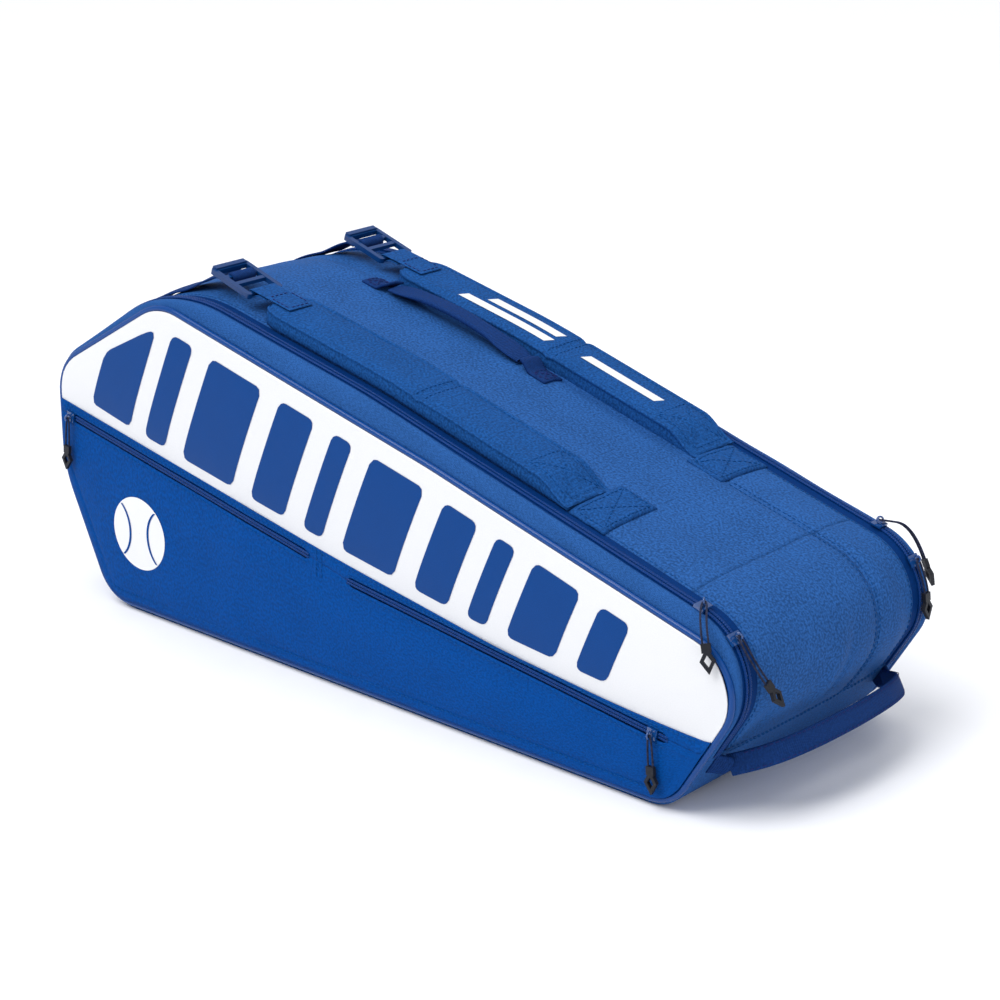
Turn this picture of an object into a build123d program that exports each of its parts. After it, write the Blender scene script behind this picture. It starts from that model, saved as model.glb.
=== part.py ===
"""A padded racket tournament bag with two compartments, standing on its long flat base.

X runs from the head end to the handle end, Y from the front panel to the rear one, and Z is up.
The origin is the middle of the base where it meets the ground. Sizes are in millimetres.

The bag's shape is one side outline carried across its width. Each large side is a zipped lid that
folds down about its bottom edge. "near" is the -Y side, which has the outer pocket, "far" is +Y.
"""
import math
import os

from build123d import *

os.makedirs("parts", exist_ok=True)

# ---- driving dimensions -------------------------------------------------------------------------
# The body's side outline, clockwise from the base's head end: (x, z, corner radius).
BODY_CORNERS = [
    (-320, 0, 40),
    (-377, 120, 110),
    (-377, 219, 45),
    (-234, 314, 160),
    (0, 262, 800),
    (410, 145.5, 55),
    (322, 0, 40),
]
# The side panels dip below the crowned top between the two ends.
PANEL_CORNERS = [
    (-320, 0, 40),
    (-377, 120, 110),
    (-377, 217, 48),
    (-238, 299, 60),
    (79, 223, 700),
    (403, 134, 46),
    (322, 0, 40),
]
TOP_FALL = (145.5 - 262) / 410  # slope of the long straight run of the top
HANDLE_CORNER = 5  # which body corner is the round one at the handle end

WALL = 5  # padded fabric of the body
BODY_HALF = 104  # the body's panels end here, and the zip tapes start
TRAY_HALF = 126.6  # the base tray runs out to the side panels
TRAY_TOP = 52  # height of the seam above the base tray
END_SEAMS = (-300, 320)  # where the top panel meets the two end panels
DIVIDER_Y = 50
DIVIDER = 3

# The main zips, one at each side of the body.
ZIP_HALF = 116  # the middle of the zip's slot
SLOT = 1.4  # open slot between the two rows of coils
COIL = 2.7  # width of one row of coils
COIL_RISE = 1.5
TAPE = 3
TAPE_OUT = 121.5  # the lid's tape ends and its rim starts

# The lids, layer by layer outwards.
RIM_OUT = 127
LID_FOOT = 5  # the lids' bottom edge
LID_GAP = 0.4
LINER_OUT = 131
SKIN = 1.6
POCKET_OUT = 135.4
PIPE_RADIUS = 2.7
PIPE_Y = 129.8
PIPE_INSET = 1.6

# The line between the coated panel and the pocket below it: (x, z).
POCKET_LINE = [(-420, 194), (-40, 119.5), (150, 88), (300, 72), (430, 67.4)]
POCKET_LINE_RADII = [1500, 1200, 800]
HEAD_ZIP = ((-366, 172.3), (-58, 112.6))  # pocket zip at the head end: its two ends, x and z
HANDLE_ZIP = ((-14, 101.9), (322, 61.3))
GROOVE = 13  # width left for a pocket zip between the pocket's fabrics
POCKET_TAPE = 1.2
POCKET_COIL_OUT = LINER_OUT + 3.4

# Sliders and their pulls.
SLIDER_LONG = 9
PLATE_WIDE = 12.4
SLIDER_PLATE = 1.4
SLIDER_GAP = 0.6
SLIDER_RAIL = 1.8
SLIDER_LIFT = 0.4  # the rail and blade stay this far off the tape
BLADE = 0.8
POCKET_PLATE_WIDE = 8.8
POCKET_SLIDER_GAP = 0.5
BAIL_RADIUS = 2.6
BAIL_WIRE = 0.8
BAIL_GAP = 0.2
BAIL_HEIGHT = COIL_RISE + SLIDER_GAP + SLIDER_PLATE + BAIL_RADIUS + BAIL_GAP
UPPER_SLIDER_X = 337
NEAR_LOWER_ANGLE = 42.5
FAR_LOWER_ANGLE = 36
HEAD_SLIDER_X = -359
HANDLE_SLIDER_X = 308
CORD = 1.6
STRAND = 2.3  # half the distance between a pull's two strands
TAB_LONG = 23
TAB_WIDE = 12
TAB_THICK = 3.2

# Shoulder straps. Heights are above the body's outline.
STRAP_FROM = -145
STRAP_TO = 198.4
STRAP_IN = 53.5
STRAP_OUT = 107
STRAP_Y = (STRAP_IN + STRAP_OUT) / 2
STRAP_UNDER = 1.0
STRAP_OVER = 15.5
STRAP_ROUND = 24
STRAP_THINS_FROM = 165
SEWN_OVER = 3.6
PATCH_FROM = STRAP_TO + 1.2
PATCH_TO = 234
PATCH_IN = 41
PATCH_OUT = 106
PATCH_OVER = 3.8
TAB_END = -122
TAB_HALF = 14
TAB_OVER = 17.7
EYE_RADIUS = 4.4
EYE_CLEARANCE = 0.06
BUCKLE_PIVOT = (-160.5, 312.0)
BUCKLE_TILT = 18
BUCKLE_BAR = 2.2
BUCKLE_LONG = 46
BUCKLE_WIDE = 41
BUCKLE_THICK = 4.4
BUCKLE_RAIL = 4.5
BUCKLE_BARS = (17, 29)  # middles of the two flat bars, from the pivot
WEBBING = 26
WEBBING_THICK = 2
WEBBING_UNDER = 0.5
WEBBING_LOW = 232
WEBBING_TOP = (-216, 80)  # x and distance from the middle
WEBBING_FOOT = (-380, 95)
FOOT_TAB_LOW = 236
FOOT_TAB_UNDER = 2.8
FOOT_TAB_OVER = 5.2

# Handles.
TOP_HANDLE_Y = 37.5
TOP_HANDLE_WIDE = 24
TOP_HANDLE_THICK = 3.2
TOP_HANDLE_ENDS = (-118, 31)
TOP_HANDLE_LIFT = 7
TOP_HANDLE_ARCH = 8.5
ANCHOR_LONG = 10
SWING_GAP = 1.3  # room for the top handle to swing between its anchors
END_HANDLE_Y = 104
END_HANDLE_ROUTE = [(360, -END_HANDLE_Y), (390, -80), (403, 0), (390, 80), (360, END_HANDLE_Y)]
END_HANDLE_LOW = 34
END_HANDLE_HIGH = 51.4
END_HANDLE_THICK = 4.5
END_HANDLE_HINGE = (360, 42.7)  # x and z of the line through the loop's two sewn ends
END_HANDLE_RAISE = 25  # the loop stands up from level by this angle
END_ANCHOR_X = (330, 368)
END_ANCHOR_Y = (-END_HANDLE_Y - 10, -END_HANDLE_Y - 2.4)
END_ANCHOR_HIGH = TRAY_TOP - 0.2

OVER_OUTLINE = 0.3  # pieces that lie on the body stay this far off it
FAR_AWAY = 600  # longer than the bag, for cutting


# ---- drawing helpers ----------------------------------------------------------------------------
def inset_points(corners, inset, foot=0):
    """The outline's sharp corners, moved in by inset, with the lowest edge raised by foot."""
    edges = []
    for (x0, z0, _), (x1, z1, _) in zip(corners, corners[1:] + corners[:1]):
        length = math.hypot(x1 - x0, z1 - z0)
        inward = ((z1 - z0) / length, (x0 - x1) / length)
        depth = inset + (foot if z0 == z1 else 0)
        edges.append((*inward, inward[0] * x0 + inward[1] * z0 + depth))
    points = []
    for (a, b, c), (d, e, f) in zip(edges[-1:] + edges[:-1], edges):
        turn = a * e - b * d
        points.append(((c * e - b * f) / turn, (a * f - c * d) / turn))
    return points


def outline(corners, inset, foot=0):
    """The closed outline with round corners, moved in by inset."""
    radii = [max(radius - inset, 1) for _, _, radius in corners]
    return make_face(FilletPolyline(*inset_points(corners, inset, foot), radius=radii, close=True).edges())


def across(face, y0, y1):
    """A face drawn in x and z, carried across the bag from y0 to y1."""
    return extrude(Pos(0, y1, 0) * (Plane.XZ * face), amount=y1 - y0, dir=(0, -1, 0))


def band(y0, y1, outer=0, inner=WALL, corners=BODY_CORNERS):
    """The shell between two insets of an outline."""
    return across(outline(corners, outer) - outline(corners, inner), y0, y1)


def block(low, high):
    middle = [(a + b) / 2 for a, b in zip(low, high)]
    return Pos(*middle) * Box(*[b - a for a, b in zip(low, high)])


def above(z):
    return block((-FAR_AWAY, -FAR_AWAY, z), (FAR_AWAY, FAR_AWAY, FAR_AWAY))


def between_x(x0, x1, z0=0):
    return block((x0, -FAR_AWAY, z0), (x1, FAR_AWAY, FAR_AWAY))


def far(shape):
    """The same piece on the other side of the bag."""
    return mirror(shape, about=Plane.XZ)


def top_height(x):
    """Height of the straight run of the top, from x = 22 to 340."""
    return 262 + TOP_FALL * x


def save(name, shape):
    solids = shape.solids()
    if len(solids) != 1:
        print(name, "has", len(solids), "solids")
    export_step(Compound(solids) if len(solids) > 1 else solids[0], f"parts/{name}.step")


# ---- the body -----------------------------------------------------------------------------------
def body():
    """The open shell between the two lids: a tray, four panels, a divider and the body's zip halves."""
    head_seam, handle_seam = END_SEAMS
    shell = band(-BODY_HALF, BODY_HALF)
    tray = band(-TRAY_HALF, TRAY_HALF) & block((-FAR_AWAY, -FAR_AWAY, -1), (FAR_AWAY, FAR_AWAY, TRAY_TOP))
    save("base_tray", tray)
    save("head_end_panel", shell & between_x(-FAR_AWAY, head_seam, TRAY_TOP))
    save("top_panel", shell & between_x(head_seam, handle_seam, TRAY_TOP))
    handle_end = shell & between_x(handle_seam, FAR_AWAY, TRAY_TOP)
    seam = block((0, DIVIDER_Y, 0), (FAR_AWAY, FAR_AWAY, FAR_AWAY))
    save("handle_end_panel_near", handle_end - seam)
    save("handle_end_panel_far", handle_end & seam)
    divider = outline(BODY_CORNERS, WALL + 0.2)
    save("divider_panel", across(divider, DIVIDER_Y - DIVIDER / 2, DIVIDER_Y + DIVIDER / 2))
    coil_edge = ZIP_HALF - SLOT / 2
    zip_half = band(-coil_edge, -BODY_HALF, 0, TAPE) + band(-coil_edge, COIL - coil_edge, -COIL_RISE, 0)
    zip_half = zip_half & above(TRAY_TOP)
    save("near_body_zip", zip_half)
    save("far_body_zip", far(zip_half))


# ---- the two lids -------------------------------------------------------------------------------
def below_pocket_line(drop=0):
    """Everything under the curved line between the coated panel and the pocket."""
    points = [(x, z - drop) for x, z in POCKET_LINE]
    curve = FilletPolyline(*points, radius=POCKET_LINE_RADII)
    close = Polyline(points[-1], (430, -50), (-420, -50), points[0])
    return make_face(curve.edges() + close.edges())


def groove(ends, width):
    """A straight slot from one end of a pocket zip to the other."""
    (x0, z0), (x1, z1) = ends
    length = math.hypot(x1 - x0, z1 - z0)
    turn = math.degrees(math.atan2(z1 - z0, x1 - x0))
    return Pos((x0 + x1) / 2, (z0 + z1) / 2) * Rot(0, 0, turn) * Rectangle(length, width)


def lid_frame():
    """The pieces that both lids share, on the near side."""
    coil_edge = ZIP_HALF + SLOT / 2
    lift = above(TRAY_TOP + LID_GAP)
    tape = band(-TAPE_OUT, -coil_edge, 0, TAPE) + band(-coil_edge - COIL, -coil_edge, -COIL_RISE, 0)
    rim = across(outline(BODY_CORNERS, 0) - outline(PANEL_CORNERS, 4), -RIM_OUT, -TAPE_OUT)
    edge = Plane.XZ * outline(PANEL_CORNERS, PIPE_INSET, LID_FOOT)
    ring = (Pos(0, -PIPE_Y, 0) * edge).faces()[0].outer_wire()
    piping = sweep(Plane(origin=ring @ 0, z_dir=ring % 0) * Circle(PIPE_RADIUS), path=ring)
    liner = across(outline(PANEL_CORNERS, 4.4, LID_FOOT), -LINER_OUT, -RIM_OUT)
    return {"lid_zip": tape & lift, "lid_rim": rim & lift, "piping": piping, "side_liner": liner}


def lids():
    """Both lids, with the outer pocket and its two zips on the near one."""
    for name, shape in lid_frame().items():
        save(f"near_{name}", shape)
        save(f"far_{name}", far(shape))
    panel = outline(PANEL_CORNERS, 4.6, LID_FOOT)
    coated = across(panel - below_pocket_line(), -LINER_OUT - SKIN, -LINER_OUT)
    save("near_coated_panel", coated)
    save("far_coated_panel", far(coated))
    lower = outline(PANEL_CORNERS, 5.6, LID_FOOT) & below_pocket_line(0.6)
    pocket = lower - groove(HEAD_ZIP, GROOVE) - groove(HANDLE_ZIP, GROOVE)
    save("near_pocket_front", across(pocket, -POCKET_OUT, -LINER_OUT))
    save("far_lower_panel", far(across(lower, -LINER_OUT - 2 * SKIN, -LINER_OUT)))
    for name, ends in (("head", HEAD_ZIP), ("handle", HANDLE_ZIP)):
        tape = across(groove(ends, GROOVE - 0.6), -LINER_OUT - POCKET_TAPE, -LINER_OUT)
        coil = across(groove(ends, 2 * COIL), -POCKET_COIL_OUT, -LINER_OUT - POCKET_TAPE)
        save(f"near_pocket_zip_{name}", tape + coil)


# ---- zip sliders and their pulls ----------------------------------------------------------------
def slider_section():
    """A main slider across the near zip: x is towards the body, y is outwards from the tape.

    A plate over both coils, a rail beside the lid's coil and a blade in the open slot.
    """
    plate_low = COIL_RISE + SLIDER_GAP
    plate = Pos(0, plate_low + SLIDER_PLATE / 2) * Rectangle(PLATE_WIDE, SLIDER_PLATE)
    joined = plate_low + 0.2
    rail_middle = Pos((SLIDER_RAIL - PLATE_WIDE) / 2, (SLIDER_LIFT + joined) / 2)
    rail = rail_middle * Rectangle(SLIDER_RAIL, joined - SLIDER_LIFT)
    blade_low = SLIDER_LIFT - TAPE
    blade = Pos(0, (joined + blade_low) / 2) * Rectangle(BLADE, joined - blade_low)
    return plate + rail + blade


def straight_slider():
    """The upper slider, on the straight run of the top, and the centre of its bail."""
    run = Vector(1, 0, TOP_FALL).normalized()
    up = Vector(-TOP_FALL, 0, 1).normalized()
    middle = Vector(UPPER_SLIDER_X, -ZIP_HALF, top_height(UPPER_SLIDER_X))
    section = Plane(origin=middle - run * (SLIDER_LONG / 2), x_dir=(0, 1, 0), z_dir=run)
    return extrude(section * slider_section(), amount=SLIDER_LONG, dir=run), middle + up * BAIL_HEIGHT


def corner_slider(angle):
    """A lower slider, on the round corner at an angle above +X, and the centre of its bail."""
    radius = BODY_CORNERS[HANDLE_CORNER][2]
    centre_x, centre_z = inset_points(BODY_CORNERS, radius)[HANDLE_CORNER]
    centre = Vector(centre_x, -ZIP_HALF, centre_z)
    half = math.degrees(SLIDER_LONG / 2 / radius)
    out = Vector(1, 0, 0).rotate(Axis.Y, -angle - half)
    section = Plane(origin=centre + out * radius, x_dir=(0, 1, 0), z_dir=Vector(0, 1, 0).cross(out))
    axis = Axis(centre, (0, 1, 0))
    slider = revolve(section * slider_section(), axis=axis, revolution_arc=2 * half)
    return slider, centre + Vector(1, 0, 0).rotate(Axis.Y, -angle) * (radius + BAIL_HEIGHT)


def pocket_slider(ends, x):
    """A slider astride a pocket zip's coil, and the centre of its bail."""
    (x0, z0), (x1, z1) = ends
    z = z0 + (z1 - z0) * (x - x0) / (x1 - x0)
    place = Plane(origin=(x, -POCKET_COIL_OUT, z), x_dir=(x1 - x0, 0, z1 - z0), z_dir=(0, -1, 0))
    plate_middle = Pos(0, 0, POCKET_SLIDER_GAP + SLIDER_PLATE / 2)
    plate = plate_middle * Box(SLIDER_LONG, POCKET_PLATE_WIDE, SLIDER_PLATE)
    legs = [Pos(0, side * 3.75, -0.7) * Box(SLIDER_LONG, 1.3, 2.4) for side in (-1, 1)]
    lift = POCKET_SLIDER_GAP + SLIDER_PLATE + BAIL_RADIUS + BAIL_GAP
    return place * (plate + legs[0] + legs[1]), Vector(x, -POCKET_COIL_OUT - lift, z)


def pull_tab(start, along, hinge):
    """A moulded rhombus frame on a short neck."""
    half = TAB_WIDE / 2
    frame = Polyline((3, 0), (13, half), (TAB_LONG, 0), (13, -half), close=True)
    window = Polyline((8.5, 0), (13.2, half - 3), (TAB_LONG - 5, 0), (13.2, 3 - half), close=True)
    flat = make_face(frame.edges()) + Pos(3.5, 0) * Rectangle(7, 2 * STRAND + CORD + 1)
    flat = flat - make_face(window.edges())
    place = Plane(origin=start, x_dir=along, z_dir=along.cross(hinge))
    return place * (Pos(0, 0, -TAB_THICK / 2) * extrude(flat, amount=TAB_THICK))


def pull_cord(route, hinge):
    """One cord doubled through the bail, with both its ends at the tab."""
    points = [point + hinge * STRAND for point in route[::-1]] + [point - hinge * STRAND for point in route]
    radii = []
    for before, corner, after in zip(points, points[1:], points[2:]):
        run = min((corner - before).length, (after - corner).length)
        turn = (corner - before).get_angle(after - corner)
        radii.append(0.45 * run / math.tan(math.radians(turn / 2)))
    path = FilletPolyline(*points, radius=radii)
    tube = sweep(Plane(origin=path @ 0, z_dir=path % 0) * Circle(CORD / 2), path=path)
    print("  cord", round(path.length, 1), "smallest radius", round(min(radii), 1))
    return tube


def hang_pull(name, slider, route, outwards):
    """A slider's bail, cord and tab. The route runs from the bail's centre to the tab's end."""
    along = (route[-1] - route[-2]).normalized()
    hinge = (route[-1] - route[0]).cross(Vector(*outwards)).normalized()
    bail = Plane(origin=route[0], z_dir=hinge) * Torus(BAIL_RADIUS, BAIL_WIRE)
    start = route[-1] - along * TAB_LONG
    print(name, "bail", [round(v, 2) for v in route[0]], "axis", [round(v, 4) for v in hinge])
    save(f"{name}_slider", slider + bail)
    save(f"{name}_cord", pull_cord(route[:-1] + [start], hinge))
    save(f"{name}_tab", pull_tab(start, along, hinge))


def zips():
    """The four main sliders and the two on the outer pocket, each with its pull."""
    slider, bail = straight_slider()
    route = [bail, Vector(353, -136.5, 165.5), Vector(363.5, -140.5, 129)]
    hang_pull("near_upper", slider, route, (0.25, -0.66, 0.62))
    route = [Vector(bail.X, -bail.Y, bail.Z), Vector(356, 136.5, 167), Vector(377, 139.5, 119)]
    hang_pull("far_upper", far(slider), route, (0.35, 1, 0.85))
    slider, bail = corner_slider(NEAR_LOWER_ANGLE)
    route = [bail, Vector(384, -109, 128), Vector(399, -96, 99)]
    hang_pull("near_lower", slider, route, (0.75, 0, 0.65))
    slider, bail = corner_slider(FAR_LOWER_ANGLE)
    route = [Vector(bail.X, -bail.Y, bail.Z), Vector(384.5, 116, 128), Vector(387, 117.5, 99)]
    hang_pull("far_lower", far(slider), route, (1, 0, 0.3))
    slider, bail = pocket_slider(HEAD_ZIP, HEAD_SLIDER_X)
    hang_pull("pocket_head", slider, [bail, bail + Vector(-5, 0, -50)], (0, -1, 0))
    slider, bail = pocket_slider(HANDLE_ZIP, HANDLE_SLIDER_X)
    hang_pull("pocket_handle", slider, [bail, bail + Vector(4, 0, -48)], (0, -1, 0))


# ---- shoulder straps ----------------------------------------------------------------------------
def strap_pad():
    """A padded strap along the top, round at its buckle end and thin where it is sewn down."""
    pad = band(-STRAP_OUT, -STRAP_IN, -STRAP_OVER, -STRAP_UNDER) & between_x(STRAP_FROM, STRAP_TO, 100)
    plan = RectangleRounded(2 * (STRAP_TO - STRAP_FROM), STRAP_OUT - STRAP_IN, STRAP_ROUND)
    pad = pad & Pos(STRAP_TO, -STRAP_Y, 0) * extrude(plan, amount=FAR_AWAY)
    over = STRAP_OVER + 2
    wedge = Polyline(
        (STRAP_THINS_FROM, top_height(STRAP_THINS_FROM) + over),
        (STRAP_TO + 5, top_height(STRAP_TO) + SEWN_OVER),
        (STRAP_TO + 5, top_height(STRAP_TO) + over),
        close=True,
    )
    return pad - across(make_face(wedge.edges()), -STRAP_OUT - 1, -STRAP_IN + 1)


def strap_tab():
    """The folded tab on the pad's end, with the eye that the buckle's first bar turns in."""
    y0, y1 = -STRAP_Y - TAB_HALF, -STRAP_Y + TAB_HALF
    plate = band(y0, y1, -TAB_OVER, -STRAP_OVER - 0.1) & between_x(BUCKLE_PIVOT[0], TAB_END, 100)
    eye = across(Pos(*BUCKLE_PIVOT) * Circle(EYE_RADIUS), y0, y1)
    bore = across(Pos(*BUCKLE_PIVOT) * Circle(BUCKLE_BAR + EYE_CLEARANCE), y0 - 1, y1 + 1)
    return plate + eye - bore


def buckle():
    """A ladder-lock buckle: two rails, a round bar in the tab's eye and three bars for the webbing."""
    frame = Pos(BUCKLE_LONG / 2 - 2, 0, 0) * Box(BUCKLE_LONG + 3, BUCKLE_WIDE, BUCKLE_THICK)
    frame = fillet(frame.edges().filter_by(Axis.Z), 3)
    inside = BUCKLE_WIDE - 2 * BUCKLE_RAIL
    frame = frame - Pos(BUCKLE_LONG / 2 - 7, 0, 0) * Box(BUCKLE_LONG + 1, inside, 2 * BUCKLE_THICK)
    for u in BUCKLE_BARS:
        frame = frame + Pos(u, 0, 0) * Box(4.2, inside + BUCKLE_RAIL, 3.6)
    pivot = Rot(90, 0, 0) * Cylinder(BUCKLE_BAR, inside + BUCKLE_RAIL)
    lip = Pos(BUCKLE_LONG - 2.5, 0, 1.8) * Box(5, BUCKLE_WIDE - 6, 4)
    tilt = math.radians(BUCKLE_TILT)
    place = Plane(
        origin=(BUCKLE_PIVOT[0], -STRAP_Y, BUCKLE_PIVOT[1]),
        x_dir=(-math.cos(tilt), 0, math.sin(tilt)),
        z_dir=(math.sin(tilt), 0, math.cos(tilt)),
    )
    return place * (frame + pivot + lip)


def strap_webbing():
    """The webbing over the head end, slanting outwards from the buckle to its tab in the seam."""
    (x0, y0), (x1, y1) = WEBBING_TOP, WEBBING_FOOT
    turn = math.degrees(math.atan2(y0 - y1, x1 - x0))
    plan = Rectangle(math.hypot(x1 - x0, y1 - y0), WEBBING)
    strip = Pos((x0 + x1) / 2, -(y0 + y1) / 2, 100) * Rot(0, 0, turn) * extrude(plan, amount=FAR_AWAY)
    flat = band(-BODY_HALF - 8, -40, -WEBBING_UNDER - WEBBING_THICK, -WEBBING_UNDER)
    return flat & strip & above(WEBBING_LOW)


def webbing_tab():
    """A three-cornered fabric tab over the webbing's foot."""
    edge = WEBBING_FOOT[1] + WEBBING / 2 + 1
    plan = Polyline((-400, -edge), (-326, -edge), (-344, -edge + 30), (-400, -edge + 30), close=True)
    prism = Pos(0, 0, 100) * extrude(make_face(plan.edges()), amount=FAR_AWAY)
    return band(-edge - 1, -60, -FOOT_TAB_OVER, -FOOT_TAB_UNDER) & prism & above(FOOT_TAB_LOW)


def straps():
    """Two padded shoulder straps, each with its buckle, webbing and the patches that hold it."""
    patch = band(-PATCH_OUT, -PATCH_IN, -PATCH_OVER, -OVER_OUTLINE)
    patch = patch & between_x(PATCH_FROM, PATCH_TO, 100)
    pieces = {
        "strap_pad": strap_pad(),
        "strap_tab": strap_tab(),
        "buckle": buckle(),
        "strap_patch": patch,
        "strap_webbing": strap_webbing(),
        "webbing_tab": webbing_tab(),
    }
    for name, shape in pieces.items():
        save(f"near_{name}", shape)
        save(f"far_{name}", far(shape))


# ---- handles ------------------------------------------------------------------------------------
def head_slope_height(x):
    """Height of the top between the head end's crown and the middle, from x = -170 to -25."""
    return 262 - 52 / 234 * x


def top_handle():
    """An arched webbing handle, held clear of the top by an anchor at each end."""
    head_x, end_x = TOP_HANDLE_ENDS
    head = Vector(head_x, head_slope_height(head_x) + TOP_HANDLE_LIFT)
    end = Vector(end_x, top_height(end_x) + TOP_HANDLE_LIFT)
    crown = (head + end) / 2 + Vector(0, TOP_HANDLE_ARCH)
    thick = Vector(0, TOP_HANDLE_THICK)
    lower = ThreePointArc(head, crown, end)
    upper = ThreePointArc(head + thick, crown + thick, end + thick)
    ends = [Line(head, head + thick), Line(end, end + thick)]
    face = make_face(lower.edges() + upper.edges() + ends[0].edges() + ends[1].edges())
    y0 = TOP_HANDLE_Y - TOP_HANDLE_WIDE / 2
    y1 = TOP_HANDLE_Y + TOP_HANDLE_WIDE / 2
    save("top_handle", across(face, y0, y1))
    posts = {
        "top_handle_anchor_head": (head_x - ANCHOR_LONG, head_x - SWING_GAP, (head + thick).Y),
        "top_handle_anchor_end": (end_x + SWING_GAP, end_x + ANCHOR_LONG, (end + thick).Y),
    }
    for name, (x0, x1, high) in posts.items():
        post = block((x0, y0, 200), (x1, y1, high))
        save(name, post - across(outline(BODY_CORNERS, -OVER_OUTLINE), y0 - 1, y1 + 1))


def end_handle():
    """A loop of doubled webbing across the handle end, bulging out for the hand."""
    line = FilletPolyline(*END_HANDLE_ROUTE, radius=[22, 160, 22])
    loop = extrude(trace(line, END_HANDLE_THICK), amount=END_HANDLE_HIGH - END_HANDLE_LOW)
    hinge_x, hinge_z = END_HANDLE_HINGE
    hinge = Axis((hinge_x, 0, hinge_z), (0, -1, 0))
    save("end_handle", (Pos(0, 0, END_HANDLE_LOW) * loop).rotate(hinge, END_HANDLE_RAISE))
    x0, x1 = END_ANCHOR_X
    y0, y1 = END_ANCHOR_Y
    anchor = block((x0, y0, END_HANDLE_LOW - 2), (x1, y1, END_ANCHOR_HIGH))
    anchor = anchor - across(outline(BODY_CORNERS, -OVER_OUTLINE), y0 - 1, y1 + 1)
    save("end_handle_anchor_near", anchor)
    save("end_handle_anchor_far", far(anchor))


body()
lids()
zips()
straps()
top_handle()
end_handle()
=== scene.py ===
"""Looks for the racket bag: fabric shells, zips, straps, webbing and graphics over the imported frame.

Everything is in metres in the bag's own frame: X to the handle end, Y to the far side, Z up.
Fabric pieces are grids over the same side outline that the frame was made from. Every grid carries
a UV map in metres, so weave and stitching have their real scale.
"""
import math

import bpy
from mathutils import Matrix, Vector, noise


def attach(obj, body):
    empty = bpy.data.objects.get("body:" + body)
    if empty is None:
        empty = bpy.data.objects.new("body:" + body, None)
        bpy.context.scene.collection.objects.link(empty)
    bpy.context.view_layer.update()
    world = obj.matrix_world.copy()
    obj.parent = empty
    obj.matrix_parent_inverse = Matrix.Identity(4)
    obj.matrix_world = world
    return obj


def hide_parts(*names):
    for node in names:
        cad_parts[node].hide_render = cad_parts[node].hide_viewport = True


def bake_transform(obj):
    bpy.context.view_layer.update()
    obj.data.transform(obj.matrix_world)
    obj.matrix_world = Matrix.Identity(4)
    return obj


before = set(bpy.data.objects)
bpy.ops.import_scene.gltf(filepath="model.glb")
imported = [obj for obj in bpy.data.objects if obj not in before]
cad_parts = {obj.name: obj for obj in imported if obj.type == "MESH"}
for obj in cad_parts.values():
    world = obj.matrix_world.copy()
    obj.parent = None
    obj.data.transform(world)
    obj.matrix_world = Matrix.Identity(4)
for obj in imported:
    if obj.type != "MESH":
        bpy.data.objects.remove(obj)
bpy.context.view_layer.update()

SIDES = {"near": -1, "far": 1}

# ---- the frame's driving dimensions, in metres ---------------------------------------------------
BODY_CORNERS = [
    (-0.320, 0, 0.040),
    (-0.377, 0.120, 0.110),
    (-0.377, 0.219, 0.045),
    (-0.234, 0.314, 0.160),
    (0, 0.262, 0.800),
    (0.410, 0.1455, 0.055),
    (0.322, 0, 0.040),
]
PANEL_CORNERS = [
    (-0.320, 0, 0.040),
    (-0.377, 0.120, 0.110),
    (-0.377, 0.217, 0.048),
    (-0.238, 0.299, 0.060),
    (0.079, 0.223, 0.700),
    (0.403, 0.134, 0.046),
    (0.322, 0, 0.040),
]
LID_FOOT = 0.005
BODY_HALF = 0.104
TRAY_HALF = 0.1266
TRAY_TOP = 0.052
ZIP_HALF = 0.116
SLOT = 0.0014
COIL = 0.0027
TAPE_OUT = 0.1215
PIPE_Y = 0.1298
PIPE_RADIUS = 0.0027
LINER_OUT = 0.131
DIVIDER_Y = 0.050
POCKET_LINE = [(-0.420, 0.194), (-0.040, 0.1195), (0.150, 0.088), (0.300, 0.072), (0.430, 0.0674)]
HEAD_ZIP = ((-0.366, 0.1723), (-0.058, 0.1126))
HANDLE_ZIP = ((-0.014, 0.1019), (0.322, 0.0613))
STRAP_IN = 0.0535
STRAP_OUT = 0.107
STRAP_MIDDLE = (STRAP_IN + STRAP_OUT) / 2
STRAP_FROM = -0.145
STRAP_TO = 0.1984
SHELL = 0.004
END_HINGE = (0.360, 0.0427)
END_RAISE = math.radians(25)
END_REACH = 0.1045


def smooth(value):
    """0 below 0, 1 above 1, and a soft step between."""
    value = min(max(value, 0), 1)
    return value * value * (3 - 2 * value)


def around(count):
    """The cosine and sine of each of so many even steps round a circle."""
    turns = [2 * math.pi * k / count for k in range(count)]
    return [(math.cos(turn), math.sin(turn)) for turn in turns]


def crossed(box):
    """The runs of a sewn box and its two diagonals."""
    return [*zip(box, box[1:]), (box[0], box[2]), (box[1], box[3])]


def uneven(x, y, z):
    """Smooth unevenness between -1 and 1, the same on every run."""
    return noise.noise(Vector((x, y, z)))


def bump_at(value, middle, width):
    return math.exp(-(((value - middle) / width) ** 2))


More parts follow.
